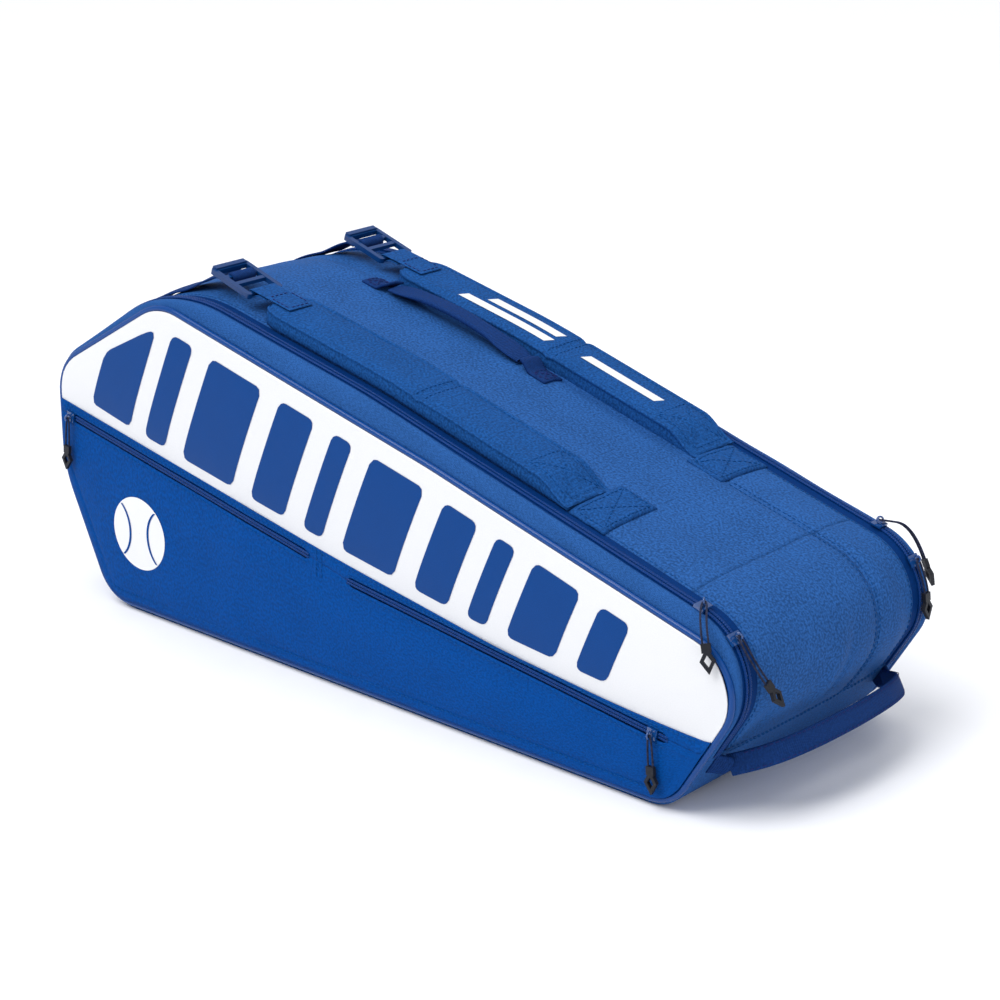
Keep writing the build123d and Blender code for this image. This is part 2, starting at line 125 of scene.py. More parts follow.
# ---- side outlines -------------------------------------------------------------------------------
class Outline:
    """A closed outline of straight runs and round corners. A place on it is t, a run's or a corner's
    number plus how far along it, so the same t is the same feature on two outlines."""

    def __init__(self, corners, inset=0.0, foot=0.0):
        lines = []
        for (x0, z0, _), (x1, z1, _) in zip(corners, corners[1:] + corners[:1]):
            length = math.hypot(x1 - x0, z1 - z0)
            inward = ((z1 - z0) / length, (x0 - x1) / length)
            lines.append((*inward, inward[0] * x0 + inward[1] * z0 + inset + (foot if z0 == z1 else 0)))
        points = []
        for (a, b, c), (d, e, f) in zip(lines[-1:] + lines[:-1], lines):
            turn = a * e - b * d
            points.append(((c * e - b * f) / turn, (a * f - c * d) / turn))
        self.lines = lines
        self.parts = []
        ends = []
        for (a, b, _), (d, e, _), (x, z), corner in zip(lines[-1:] + lines[:-1], lines, points, corners):
            radius = max(corner[2] - inset, 0.001)
            half = math.acos(max(-1, min(1, a * d + b * e))) / 2
            back = radius * math.tan(half)
            # the run before goes along (-b, a) turned to clockwise travel
            before = (-b, a)
            after = (-e, d)
            start = (x - before[0] * back, z - before[1] * back)
            centre = (start[0] + a * radius, start[1] + b * radius)
            first = math.atan2(-b, -a)
            ends.append((start, (x + after[0] * back, z + after[1] * back), centre, radius, first, 2 * half))
        count = len(ends)
        base_mid = ((ends[-1][1][0] + ends[0][0][0]) / 2, (ends[-1][1][1] + ends[0][0][1]) / 2)
        self.parts.append(("run", base_mid, ends[0][0], lines[-1]))
        for i in range(count):
            self.parts.append(("corner", *ends[i]))
            finish = ends[i + 1][0] if i + 1 < count else base_mid
            self.parts.append(("run", ends[i][1], finish, lines[i]))
        self.lengths = [self._length(p) for p in self.parts]
        self.marks = [sum(self.lengths[:i]) for i in range(len(self.parts) + 1)]
        self.end = float(len(self.parts))

    @staticmethod
    def _length(part):
        if part[0] == "run":
            return math.dist(part[1], part[2])
        return part[4] * part[6]

    def at(self, t):
        """x, z, and the outward direction's x and z."""
        t = min(max(t, 0), self.end - 1e-9)
        part = self.parts[int(t)]
        share = t - int(t)
        if part[0] == "run":
            (x0, z0), (x1, z1), (a, b, _) = part[1:]
            return x0 + (x1 - x0) * share, z0 + (z1 - z0) * share, -a, -b
        centre, radius, first, turn = part[3:]
        angle = first - turn * share
        out = (math.cos(angle), math.sin(angle))
        return centre[0] + radius * out[0], centre[1] + radius * out[1], *out

    def along(self, t):
        """Distance round the outline from the middle of the base."""
        t = min(max(t, 0), self.end - 1e-9)
        return self.marks[int(t)] + (t - int(t)) * self.lengths[int(t)]

    def find(self, low, high, test):
        """The t between low and high where test(x, z) turns from negative to positive."""
        for _ in range(40):
            middle = (low + high) / 2
            x, z, _, _ = self.at(middle)
            if test(x, z) < 0:
                low = middle
            else:
                high = middle
        return (low + high) / 2

    def steps(self, t0, t1, size):
        """Values of t from t0 to t1, about size apart along the outline."""
        values = [t0]
        for i in range(int(t0), int(math.ceil(t1))):
            low, high = max(t0, i), min(t1, i + 1)
            count = max(1, round(self.lengths[i] * (high - low) / size))
            values += [low + (high - low) * k / count for k in range(1, count + 1)]
        return values

    def depth(self, x, z):
        """How far inside the outline's runs a point is."""
        return min(a * x + b * z - c for a, b, c in self.lines)


BODY = Outline(BODY_CORNERS)
PANEL = Outline(PANEL_CORNERS, foot=LID_FOOT)
HEAD_FOOT = BODY.find(1, 4, lambda x, z: z - TRAY_TOP)
HANDLE_FOOT = BODY.find(12, 14.5, lambda x, z: TRAY_TOP - z)
HEAD_SEAM = BODY.find(5, 8, lambda x, z: x + 0.300)
HANDLE_SEAM = BODY.find(9, 12, lambda x, z: x - 0.320)


def top_t(x):
    """The place on the body's outline above x, between the two ends."""
    return BODY.find(5.5, 11.6, lambda px, pz: px - x)


# ---- how the soft body bulges --------------------------------------------------------------------
def crown(t, y):
    """How far the body's fabric stands out from the outline between its two zips."""
    x, z, _, nz = BODY.at(t)
    share = abs(y) / BODY_HALF
    if share >= 1:
        return 0.0
    off_base = smooth((z - 0.030) / 0.050)
    rise = (0.0055 if nz > 0.6 else 0.0065) * (1 - share**2.4) * off_base
    seam = 0.0022 * bump_at(y, DIVIDER_Y, 0.007) * off_base
    s = BODY.along(t)
    wave = uneven(s * 9, y * 16, 3.1) * 0.0016 + uneven(s * 26, y * 34, 7.7) * 0.0006
    handle_end = smooth((x - 0.335) / 0.03) * smooth((z - 0.050) / 0.02)
    folds = (
        0.0022 * bump_at(y, -0.012 + 0.25 * (z - 0.09), 0.011) * smooth((0.150 - z) / 0.05)
        - 0.0020 * bump_at(y, 0.004 + 0.30 * (z - 0.09), 0.006) * smooth((0.140 - z) / 0.05)
        + 0.0020 * bump_at(y, 0.086 - 0.3 * (z - 0.09), 0.012)
        - 0.0016 * bump_at(y, -0.078 + 0.2 * (z - 0.09), 0.008) * smooth((0.120 - z) / 0.04)
    ) * handle_end
    return rise - seam + (wave + folds) * min(1, (1 - share) * 8) * off_base


def above_top(x, height):
    """x and z of a point at a height over the body's outline above x."""
    ox, oz, nx, nz = BODY.at(top_t(x))
    return (ox + nx * height, oz + nz * height)


def on_body(t, y, height=0.0):
    """A point over the body's fabric."""
    x, z, nx, nz = BODY.at(t)
    lift = crown(t, y) + height
    return (x + nx * lift, y, z + nz * lift)


def side_bulge(x, z):
    """How far a side panel's middle stands out from its edge."""
    depth = max(PANEL.depth(x, z) - 0.004, 0)
    soft = 1 - math.exp(-depth / 0.035)
    wave = uneven(x * 11, z * 13, 1.3) * 0.0007
    return 0.0042 * soft + wave * min(1, depth / 0.02)


# ---- mesh helpers --------------------------------------------------------------------------------
def mesh_piece(name, points, faces, uvs=None, material=None):
    """A smooth-shaded mesh object. uvs is one (u, v) for each point, or for each face corner."""
    mesh = bpy.data.meshes.new(name)
    mesh.from_pydata([tuple(p) for p in points], [], faces)
    if uvs:
        layer = mesh.uv_layers.new(name="metres")
        corner = 0
        for face in faces:
            for vertex in face:
                layer.data[corner].uv = uvs[vertex] if len(uvs) == len(points) else uvs[corner]
                corner += 1
    mesh.shade_smooth()
    piece = bpy.data.objects.new(name, mesh)
    bpy.context.scene.collection.objects.link(piece)
    if material:
        mesh.materials.append(material)
    return piece


def grid(name, rows, material, us=None, vs=None, close_rows=False, close_columns=False, flip=False):
    """A mesh through rows of points. Its UVs are distances along the middle row and column."""
    wide, high = len(rows[0]), len(rows)

    def marks(line):
        total = [0.0]
        for a, b in zip(line, line[1:]):
            total.append(total[-1] + math.dist(a, b))
        return total

    us = us or marks(rows[high // 2])
    vs = vs or marks([row[wide // 2] for row in rows])
    points, uvs = [], []
    for j, row in enumerate(rows):
        for i, point in enumerate(row):
            points.append(point)
            uvs.append((us[i], vs[j]))
    faces, corner_uvs = [], []
    for j in range(high if close_columns else high - 1):
        for i in range(wide if close_rows else wide - 1):
            i1, j1 = (i + 1) % wide, (j + 1) % high
            face = [j * wide + i, j * wide + i1, j1 * wide + i1, j1 * wide + i]
            u1 = us[i1] if i1 else us[i] + us[1] - us[0]
            v1 = vs[j1] if j1 else vs[j] + vs[1] - vs[0]
            corners = [(us[i], vs[j]), (u1, vs[j]), (u1, v1), (us[i], v1)]
            if flip:
                face.reverse()
                corners.reverse()
            faces.append(face)
            corner_uvs += corners
    return mesh_piece(name, points, faces, corner_uvs, material)


def thicken(piece, thickness, inner=None, offset=-1):
    """Gives a fabric grid its thickness, with another material on its inner face if asked."""
    solid = piece.modifiers.new("thickness", "SOLIDIFY")
    solid.thickness = thickness
    solid.offset = offset
    solid.use_even_offset = True
    if inner:
        piece.data.materials.append(inner)
        solid.material_offset = 1
    return piece


def soften(piece, levels=1):
    modifier = piece.modifiers.new("soft", "SUBSURF")
    modifier.levels = modifier.render_levels = levels
    return piece


def tube(name, line, radius, material, sides=10, closed=False, axis=None):
    """A round tube along a list of points. axis, if given, stays in every ring's plane."""
    rows = []
    count = len(line)
    for i, point in enumerate(line):
        before = Vector(line[i - 1] if i or closed else line[0])
        after = Vector(line[(i + 1) % count] if i + 1 < count or closed else line[-1])
        along = (after - before).normalized()
        side = (axis if axis else along.orthogonal()).normalized()
        side = (side - along * side.dot(along)).normalized()
        up = along.cross(side)
        ring = []
        for c, s in around(sides):
            ring.append(Vector(point) + side * c * radius + up * s * radius)
        rows.append(ring)
    us = [2 * math.pi * radius * k / sides for k in range(sides)]
    return grid(name, rows, material, us=us, close_rows=True, close_columns=closed)


def put(piece, body, slot, *nodes):
    """The piece rides on a body and stands for the nodes named, which are hidden; slot is not used."""
    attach(piece, body)
    if nodes:
        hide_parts(*nodes)
    return piece


def sew(piece, thickness, body, slot, *nodes):
    """A fabric sheet given its thickness and put in its place."""
    return put(thicken(piece, thickness), body, slot, *nodes)


def stitches(name, lines, material, length=0.0034, gap=0.0016, radius=0.00042):
    """Rows of short thread stitches along lines of points, as one object."""
    points, faces = [], []
    for line in lines:
        total = [0.0]
        for a, b in zip(line, line[1:]):
            total.append(total[-1] + math.dist(a, b))
        at, index = gap, 0
        while at + length < total[-1]:
            ends = []
            for place in (at, at + length):
                index = 0 if place < total[index] else index
                while index + 2 < len(total) and total[index + 1] < place:
                    index += 1
                span = total[index + 1] - total[index] or 1e-9
                ends.append(Vector(line[index]).lerp(Vector(line[index + 1]), (place - total[index]) / span))
            along = (ends[1] - ends[0]).normalized()
            side = along.orthogonal().normalized()
            up = along.cross(side)
            first = len(points)
            for share, width in ((0.0, 0.25), (0.2, 0.9), (0.8, 0.9), (1.0, 0.25)):
                middle = ends[0].lerp(ends[1], share)
                for c, s in around(5):
                    points.append(middle + (side * c + up * s) * radius * width)
            for ring in range(3):
                for k in range(5):
                    a, b = first + ring * 5 + k, first + ring * 5 + (k + 1) % 5
                    faces.append([a, b, b + 5, a + 5])
            at += length + gap
    return mesh_piece(name, points, faces, None, material)


# ---- materials -----------------------------------------------------------------------------------
def shader(name, use_uv=True, **sockets):
    """A new material: its node tree, a function that adds and links nodes, and its coordinates."""
    made = bpy.data.materials.new(name)
    made.use_nodes = True
    tree = made.node_tree
    surface = tree.nodes["Principled BSDF"]
    for socket, value in sockets.items():
        surface.inputs[socket.replace("_", " ")].default_value = value
    where = tree.nodes.new("ShaderNodeTexCoord").outputs["UV" if use_uv else "Object"]

    def add(kind, links=(), **values):
        node = tree.nodes.new(kind)
        for key, value in values.items():
            if hasattr(node, key):
                setattr(node, key, value)
            else:
                node.inputs[key.replace("_", " ")].default_value = value
        for socket, source in dict(links).items():
            tree.links.new(source, node.inputs[socket])
        return node

    return made, tree, surface, where, add


MOTTLE = 0.18


def stain(add, tree, surface, where, colour, spread, sizes):
    """Mottled colour: a wide noise and a fine one between a darker and a lighter shade."""
    wide = add("ShaderNodeTexNoise", {"Vector": where}, Scale=1 / sizes[0], Detail=5.0)
    fine = add("ShaderNodeTexNoise", {"Vector": where}, Scale=1 / sizes[1], Detail=3.0)
    soft = add("ShaderNodeMath", {0: wide.outputs["Fac"]}, operation="MULTIPLY")
    soft.inputs[1].default_value = MOTTLE
    both = add("ShaderNodeMath", {0: soft.outputs[0], 1: fine.outputs["Fac"]}, operation="ADD")
    ramp = add("ShaderNodeMapRange", {"Value": both.outputs[0]}, From_Min=0.45, From_Max=0.73)
    mix = add("ShaderNodeMix", {"Factor": ramp.outputs[0]}, data_type="RGBA")
    mix.inputs["A"].default_value = (*[c * (1 - spread) for c in colour], 1)
    mix.inputs["B"].default_value = (*[min(c * (1 + spread), 1) for c in colour], 1)
    tree.links.new(mix.outputs["Result"], surface.inputs["Base Color"])
    return wide, fine


def roughen(add, tree, surface, source, low, high):
    spread = add("ShaderNodeMapRange", {"Value": source}, From_Min=0.3, From_Max=0.7, To_Min=low, To_Max=high)
    tree.links.new(spread.outputs[0], surface.inputs["Roughness"])


def cloth(name, colour, spread=0.34, pitch=0.0011, depth=0.35, rough=(0.55, 0.72), ribs=None, use_uv=True):
    """Woven fabric: crossed threads, or ribs along the length, over soft mottling."""
    made, tree, surface, where, add = shader(
        name, use_uv, Sheen_Weight=0.004, Sheen_Roughness=0.4, Specular_IOR_Level=0.035
    )
    wide, fine = stain(add, tree, surface, where, colour, spread, (0.040, 0.0021))
    roughen(add, tree, surface, fine.outputs["Fac"], *rough)
    turn = 0.31416
    waves = []
    for direction, period in (("X", pitch), ("Y", ribs or pitch)):
        wave = add("ShaderNodeTexWave", {"Vector": where}, bands_direction=direction, Scale=turn / period)
        wave.inputs["Distortion"].default_value = 0.6
        waves.append(wave)
    weave = add(
        "ShaderNodeMath", {0: waves[0].outputs["Fac"], 1: waves[1].outputs["Fac"]}, operation="MULTIPLY"
    )
    source = waves[1] if ribs else weave
    first = add(
        "ShaderNodeBump", {"Height": source.outputs["Fac" if ribs else 0]}, Strength=depth, Distance=0.0004
    )
    second = add(
        "ShaderNodeBump",
        {"Height": wide.outputs["Fac"], "Normal": first.outputs["Normal"]},
        Strength=0.25,
        Distance=0.003,
    )
    third = add(
        "ShaderNodeBump",
        {"Height": fine.outputs["Fac"], "Normal": second.outputs["Normal"]},
        Strength=0.35,
        Distance=0.0006,
    )
    tree.links.new(third.outputs["Normal"], surface.inputs["Normal"])
    return made


def smooth_stuff(name, colour, rough, spread=0.06, grain=0.0008, depth=0.1, use_uv=True, **sockets):
    """Vinyl, coated fabric, plastic or enamel: nearly even, with a fine grain and slight waviness."""
    made, tree, surface, where, add = shader(name, use_uv, **sockets)
    wide, fine = stain(add, tree, surface, where, colour, spread, (0.030, grain))
    roughen(add, tree, surface, wide.outputs["Fac"], *rough)
    first = add("ShaderNodeBump", {"Height": fine.outputs["Fac"]}, Strength=depth, Distance=0.0003)
    second = add(
        "ShaderNodeBump",
        {"Height": wide.outputs["Fac"], "Normal": first.outputs["Normal"]},
        Strength=0.12,
        Distance=0.002,
    )
    tree.links.new(second.outputs["Normal"], surface.inputs["Normal"])
    return made


TOP_BLUE = (0.018, 0.079, 0.254)
# The side blue is the body's fabric blue painted darker: painted shade for the side panels, which catch less light
# than the top.
SHADED_SIDE_BLUE = (0.0004, 0.049, 0.226)
NAVY = (0.007, 0.032, 0.135)
body_cloth = cloth("body_cloth", TOP_BLUE)
pocket_cloth = cloth("pocket_cloth", SHADED_SIDE_BLUE, spread=0.22, depth=0.25, rough=(0.42, 0.6))
strap_cloth = cloth("strap_cloth", (0.009, 0.062, 0.218), spread=0.32, pitch=0.0014)
patch_cloth = cloth("patch_cloth", (0.010, 0.063, 0.220), spread=0.32)
lining_cloth = cloth("lining_cloth", (0.016, 0.022, 0.060), spread=0.12)
tape_cloth = cloth("tape_cloth", (0.001, 0.026, 0.130), spread=0.12, ribs=0.0008)
webbing_cloth = cloth("webbing_cloth", NAVY, spread=0.18, pitch=0.0016, depth=0.8, ribs=0.0017)
cord_braid = cloth("cord_braid", (0.022, 0.026, 0.050), pitch=0.0007, ribs=0.0009, use_uv=False)
thread = cloth("thread", (0.006, 0.066, 0.240), spread=0.1, pitch=0.0004, use_uv=False)
navy_thread = cloth("navy_thread", (0.020, 0.026, 0.125), spread=0.1, pitch=0.0004, use_uv=False)
coated = smooth_stuff("coated_fabric", (0.66, 0.665, 0.68), (0.34, 0.46), spread=0.02, grain=0.0012)
print_blue = smooth_stuff("printed_blue", (0.001, 0.042, 0.190), (0.30, 0.40), spread=0.10, Specular_IOR_Level=0.10)
print_white = smooth_stuff("printed_white", (0.70, 0.705, 0.715), (0.34, 0.44), spread=0.02)
vinyl = smooth_stuff("piping_vinyl", (0.001, 0.045, 0.205), (0.18, 0.28), Coat_Weight=0.2, Coat_Roughness=0.1,
                     Specular_IOR_Level=0.15)
nylon = smooth_stuff("coil_nylon", (0.001, 0.030, 0.150), (0.22, 0.34), spread=0.12, depth=0.2,
                     Specular_IOR_Level=0.12)
enamel = smooth_stuff(
    "slider_enamel", (0.004, 0.045, 0.180), (0.10, 0.20), use_uv=False, Coat_Weight=0.7, Coat_Roughness=0.05
)
rubber = smooth_stuff("pull_rubber", (0.008, 0.009, 0.014), (0.42, 0.56), spread=0.12, depth=0.3, use_uv=False,
                      Specular_IOR_Level=0.25)
buckle_plastic = smooth_stuff(
    "buckle_moulding", (0.002, 0.034, 0.140), (0.14, 0.24), use_uv=False, Coat_Weight=0.2, Coat_Roughness=0.1,
    Specular_IOR_Level=0.25
)


# ---- the body's shell ----------------------------------------------------------------------------
def spread_between(low, high, size):
    count = max(1, round(abs(high - low) / size))
    return [low + (high - low) * k / count for k in range(count + 1)]


def over_body(name, ts, ys, material, height=0.0, thickness=0.0035, inner=None):
    """A fabric panel on the body between two places on the outline and two widths."""
    rows = [[on_body(t, y, height) for t in ts] for y in ys]
    return thicken(grid(name, rows, material), thickness, inner)


def body_line(ts, y, height=0.0004):
    """A line along the body's fabric."""
    return [on_body(t, y, height) for t in ts]


def cross_line(t, y0, y1, height=0.0004):
    return [on_body(t, y, height) for y in spread_between(y0, y1, 0.003)]


whole = spread_between(-BODY_HALF, BODY_HALF, 0.004)
near_end = spread_between(-BODY_HALF, DIVIDER_Y, 0.0035)
far_end = spread_between(DIVIDER_Y, BODY_HALF, 0.0035)
tray_ts = BODY.steps(HANDLE_FOOT, BODY.end, 0.005) + BODY.steps(0, HEAD_FOOT, 0.005)[1:]
tray_ys = [-TRAY_HALF, -0.1255, -0.122, -0.112, *whole, 0.112, 0.122, 0.1255, TRAY_HALF]
tray = over_body("base_tray_cloth", tray_ts, tray_ys, body_cloth, 0, SHELL, lining_cloth)
put(tray, "body", "body_fabric", "base_tray")
for name, t0, t1, ys, node in (
    ("head_end_cloth", HEAD_FOOT, HEAD_SEAM, whole, "head_end_panel"),
    ("top_cloth", HEAD_SEAM, HANDLE_SEAM, whole, "top_panel"),
    ("handle_end_near_cloth", HANDLE_SEAM, HANDLE_FOOT, near_end, "handle_end_panel_near"),
    ("handle_end_far_cloth", HANDLE_SEAM, HANDLE_FOOT, far_end, "handle_end_panel_far"),
):
    panel = over_body(name, BODY.steps(t0, t1, 0.0045), ys, body_cloth, 0, SHELL, lining_cloth)
    put(panel, "body", "body_fabric", node)

seam_lines = []
for t0, t1, down in ((12, 14.5, True), (1, 4, False)):
    for shift in (-0.0018, 0.0022):
        at = BODY.find(t0, t1, lambda x, z: TRAY_TOP + shift - z if down else z - TRAY_TOP - shift)
        seam_lines.append(cross_line(at, -0.100, 0.100))
for y in (DIVIDER_Y - 0.0032, DIVIDER_Y + 0.0032):
    seam_lines.append(body_line(BODY.steps(top_t(0.237), HANDLE_FOOT, 0.003), y))
for side in SIDES.values():
    seam_lines.append(body_line(BODY.steps(HEAD_FOOT, HANDLE_FOOT, 0.004), side * 0.1018))
put(stitches("body_stitches", seam_lines, thread), "body", "body_fabric")


# ---- outline strips of the lids ------------------------------------------------------------------
PIPE = Outline(PANEL_CORNERS, inset=0.0016, foot=LID_FOOT)
EDGE = Outline(PANEL_CORNERS, inset=0.0034, foot=LID_FOOT)


def coil(name, centre, radius, pitch=0.0021):
    """One row of zip teeth: a tube with a rib for each turn of the coil. centre is its line."""
    rows = []
    turns = 0.0
    for i, point in enumerate(centre):
        before = Vector(centre[max(i - 1, 0)])
        after = Vector(centre[min(i + 1, len(centre) - 1)])
        along = (after - before).normalized()
        side = Vector((0, 1, 0))
        side = (side - along * side.dot(along)).normalized()
        up = along.cross(side)
        turns += (Vector(point) - before).length if i else 0
        swell = 1 + 0.16 * math.cos(2 * math.pi * turns / pitch)
        ring = []
        for c, s in around(7):
            ring.append(Vector(point) + (side * c * 1.05 + up * s) * radius * swell)
        rows.append(ring)
    return grid(name, rows, nylon, close_rows=True)


def main_zip(side):
    """Both halves of a main zip: a tape and a coil on the body, and the same on the lid."""
    word = "near" if side < 0 else "far"
    ts = BODY.steps(HEAD_FOOT, HANDLE_FOOT, 0.005)
    fine = BODY.steps(HEAD_FOOT, HANDLE_FOOT, 0.00052)
    edge = ZIP_HALF - SLOT / 2
    for part, inside, outside, coil_y, body, node in (
        ("body", BODY_HALF - 0.001, edge, edge - COIL / 2, "body", f"{word}_body_zip"),
        ("lid", edge + SLOT, TAPE_OUT + 0.001, edge + SLOT + COIL / 2, f"{word}_lid", f"{word}_lid_zip"),
    ):
        ys = spread_between(side * inside, side * outside, 0.002)
        ys.sort()
        rows = [[on_body(t, y, -0.0004) for t in ts] for y in ys]
        tape = thicken(grid(f"{word}_{part}_zip_tape", rows, tape_cloth), 0.0012)
        put(tape, body, "coil_zip", node)
        line = [on_body(t, side * coil_y, 0.0004) for t in fine]
        put(coil(f"{word}_{part}_zip_coil", line, COIL / 2), body, "coil_zip")


def lid_edge(side):
    """The sloping strip between a main zip and its side panel, and the piping round the panel."""
    word = "near" if side < 0 else "far"
    ts = BODY.steps(HEAD_FOOT, HANDLE_FOOT, 0.005)
    rows = []
    for k in range(9):
        share = k / 8
        row = []
        for t in ts:
            bx, bz, nx, nz = BODY.at(t)
            px, pz, _, _ = PIPE.at(t)
            bow = 0.0022 * math.sin(math.pi * share) + 0.0008 * uneven(bx * 14, bz * 14, share)
            y = TAPE_OUT + (PIPE_Y - 0.0006 - TAPE_OUT) * (share**0.8)
            drop = share**1.3
            row.append((bx + (px - bx) * drop + nx * bow, side * (y + bow * 0.3), bz + (pz - bz) * drop + nz * bow))
        rows.append(row)
    if side < 0:
        rows.reverse()
    rim = thicken(grid(f"{word}_rim_cloth", rows, body_cloth), 0.003, lining_cloth)
    put(rim, f"{word}_lid", "body_fabric", f"{word}_lid_rim")
    line = []
    for t in PIPE.steps(0, PIPE.end, 0.005)[:-1]:
        x, z, _, _ = PIPE.at(t)
        line.append((x, side * PIPE_Y, z))
    piping = tube(f"{word}_piping_tube", line, PIPE_RADIUS, vinyl, 12, True, Vector((0, 1, 0)))
    put(piping, f"{word}_lid", "piping_vinyl", f"{word}_piping")


for side in SIDES.values():
    main_zip(side)
    lid_edge(side)


# ---- side panels ---------------------------------------------------------------------------------
class Face:
    """The inside of an outline as columns: the lowest and highest z at each x."""

    def __init__(self, edge):
        self.edge = edge
        self.left = edge.at(4.5)[0]
        self.tip = max(edge.steps(11, 12, 0.0004), key=lambda t: edge.at(t)[0])
        self.right = edge.at(self.tip)[0]

    def high(self, x):
        return self.edge.at(self.edge.find(5, self.tip, lambda px, pz: px - x))[1]

    def low(self, x):
        if x < 0:
            return self.edge.at(self.edge.find(0, 4, lambda px, pz: x - px))[1]
        return self.edge.at(self.edge.find(self.tip, self.edge.end, lambda px, pz: x - px))[1]

    def columns(self, x0=None, x1=None, size=0.006):
        """x values, closer together towards the face's two ends."""
        x0, x1 = max(x0 or self.left, self.left), min(x1 or self.right, self.right)
        marks = [0.0, 0.0004, 0.0012, 0.0026, 0.005, 0.009, 0.014, 0.020]
        inner = spread_between(self.left + 0.026, self.right - 0.026, size)
        values = [self.left + m for m in marks] + inner + [self.right - m for m in reversed(marks)]
        return [x0] + [x for x in values if x0 + 1e-5 < x < x1 - 1e-5] + [x1]


SIDE = Face(EDGE)


def pocket_line(x):
    """Height of the seam between the coated panel and the pocket, with its corners rounded off."""
    total = 0.0
    for k in range(-4, 5):
        px = x + 0.012 * k
        for (x0, z0), (x1, z1) in zip(POCKET_LINE, POCKET_LINE[1:]):
            if px <= x1 or x1 == POCKET_LINE[-1][0]:
                total += z0 + (z1 - z0) * (px - x0) / (x1 - x0)
                break
    return total / 9


def zip_height(x):
    """Height of the two pocket zips, and of the line that joins them."""
    points = [*HEAD_ZIP, *HANDLE_ZIP]
    for (x0, z0), (x1, z1) in zip(points, points[1:]):
        if x <= x1 or x1 == points[-1][0]:
            return z0 + (z1 - z0) * (x - x0) / (x1 - x0)


def zip_gap(x):
    """Half the opening between a pocket zip's two lips."""
    inside = max(min(x - HEAD_ZIP[0][0], HEAD_ZIP[1][0] - x), min(x - HANDLE_ZIP[0][0], HANDLE_ZIP[1][0] - x))
    return 0.0040 * smooth(inside / 0.004)


def side_sheet(name, side, xs, low, high, out, rows, material):
    """A side panel's fabric between two heights at each x. out(x, z) is its distance from the middle."""
    lines = []
    for j in range(rows + 1):
        share = j / rows
        line = []
        for x in xs:
            z0, z1 = low(x), max(high(x), low(x) + 0.0001)
            z = z0 + (z1 - z0) * share
            line.append((x, side * out(x, z), z))
        lines.append(line)
    return grid(name, lines, material, us=[x - xs[0] for x in xs], flip=side > 0)


def coated_out(x, z):
    line = pocket_line(x)
    rise = 1 - math.exp(-max(z - line, 0) / 0.016)
    return LINER_OUT + 0.0012 + (side_bulge(x, z) + 0.0006) * rise


def pocket_out(x, z):
    """The pocket front: fuller low down, flat at its zips, with a turned edge along each lip."""
    depth = max(PANEL.depth(x, z) - 0.004, 0)
    top = max(pocket_line(x) - z, 0)
    near_zip = abs(z - zip_height(x))
    full = 0.0022 * (1 - math.exp(-depth / 0.020)) * smooth(top / 0.050)
    lip = 0.0006 * bump_at(near_zip, 0.0052, 0.0016)
    ripple = 0.0006 * uneven(x * 17, z * 19, 5.5) * smooth(depth / 0.02)
    foot_seam = 0.0009 * bump_at(depth, 0.0085, 0.0016)
    return LINER_OUT + 0.0026 + full + lip + ripple - foot_seam


def lower_out(x, z):
    return LINER_OUT + 0.0018 + 0.5 * side_bulge(x, z) * smooth((pocket_line(x) - z) / 0.03)


pocket_tip = next(x for x in spread_between(0.30, SIDE.right, 0.001) if pocket_line(x) < SIDE.low(x) + 0.0005)
near_xs = SIDE.columns(size=0.005)
pocket_xs = SIDE.columns(x1=pocket_tip, size=0.003)
for x in (-0.0580, -0.0140, HEAD_ZIP[0][0], HANDLE_ZIP[1][0]):
    pocket_xs += [x - 0.0005, x + 0.0005, x - 0.002, x + 0.002]
pocket_xs = sorted({round(x, 6) for x in pocket_xs if SIDE.left <= x <= pocket_tip})


def sheet_low(x):
    return max(pocket_line(x) - 0.004, SIDE.low(x))


for word, side in SIDES.items():
    panel = side_sheet(f"{word}_coated_sheet", side, near_xs, sheet_low, SIDE.high, coated_out, 46, coated)
    sew(panel, 0.0012, f"{word}_lid", "coated_fabric", f"{word}_coated_panel")
    liner = side_sheet(
        f"{word}_lid_lining", side, near_xs, SIDE.low, SIDE.high, lambda x, z: LINER_OUT - 0.0002, 20, lining_cloth
    )
    sew(liner, 0.004, f"{word}_lid", "lining", f"{word}_side_liner")


def to_zip(x):
    return max(min(zip_height(x) - zip_gap(x), pocket_line(x) - 0.001), SIDE.low(x))


def from_zip(x):
    return max(min(zip_height(x) + zip_gap(x), pocket_line(x) - 0.001), SIDE.low(x))


def line_top(x):
    return max(pocket_line(x), SIDE.low(x))


lower = side_sheet("pocket_cloth_lower", -1, pocket_xs, SIDE.low, to_zip, pocket_out, 34, pocket_cloth)
sew(lower, 0.0014, "near_lid", "pocket_fabric", "near_pocket_front")
upper = side_sheet("pocket_cloth_upper", -1, pocket_xs, from_zip, line_top, pocket_out, 6, pocket_cloth)
sew(upper, 0.0014, "near_lid", "pocket_fabric")
far_lower = side_sheet("far_lower_cloth", 1, pocket_xs, SIDE.low, line_top, lower_out, 34, pocket_cloth)
sew(far_lower, 0.0014, "far_lid", "pocket_fabric", "far_lower_panel")

for word, ends in (("head", HEAD_ZIP), ("handle", HANDLE_ZIP)):
    (x0, z0), (x1, z1) = ends
    fall = (z1 - z0) / (x1 - x0)
    rows = [[(x, -LINER_OUT - 0.0012, z0 + fall * (x - x0) + w) for x in spread_between(x0, x1, 0.006)]
            for w in (-0.0062, -0.002, 0.002, 0.0062)]
    tape = thicken(grid(f"pocket_tape_{word}", rows, tape_cloth), 0.001)
    put(tape, "near_lid", "coil_zip", f"near_pocket_zip_{word}")
    for name, w in (("low", -COIL / 2), ("high", COIL / 2)):
        line = [(x, -LINER_OUT - 0.0022, z0 + fall * (x - x0) + w) for x in spread_between(x0, x1, 0.00052)]
        put(coil(f"pocket_coil_{word}_{name}", line, COIL / 2 * 0.94), "near_lid", "coil_zip")


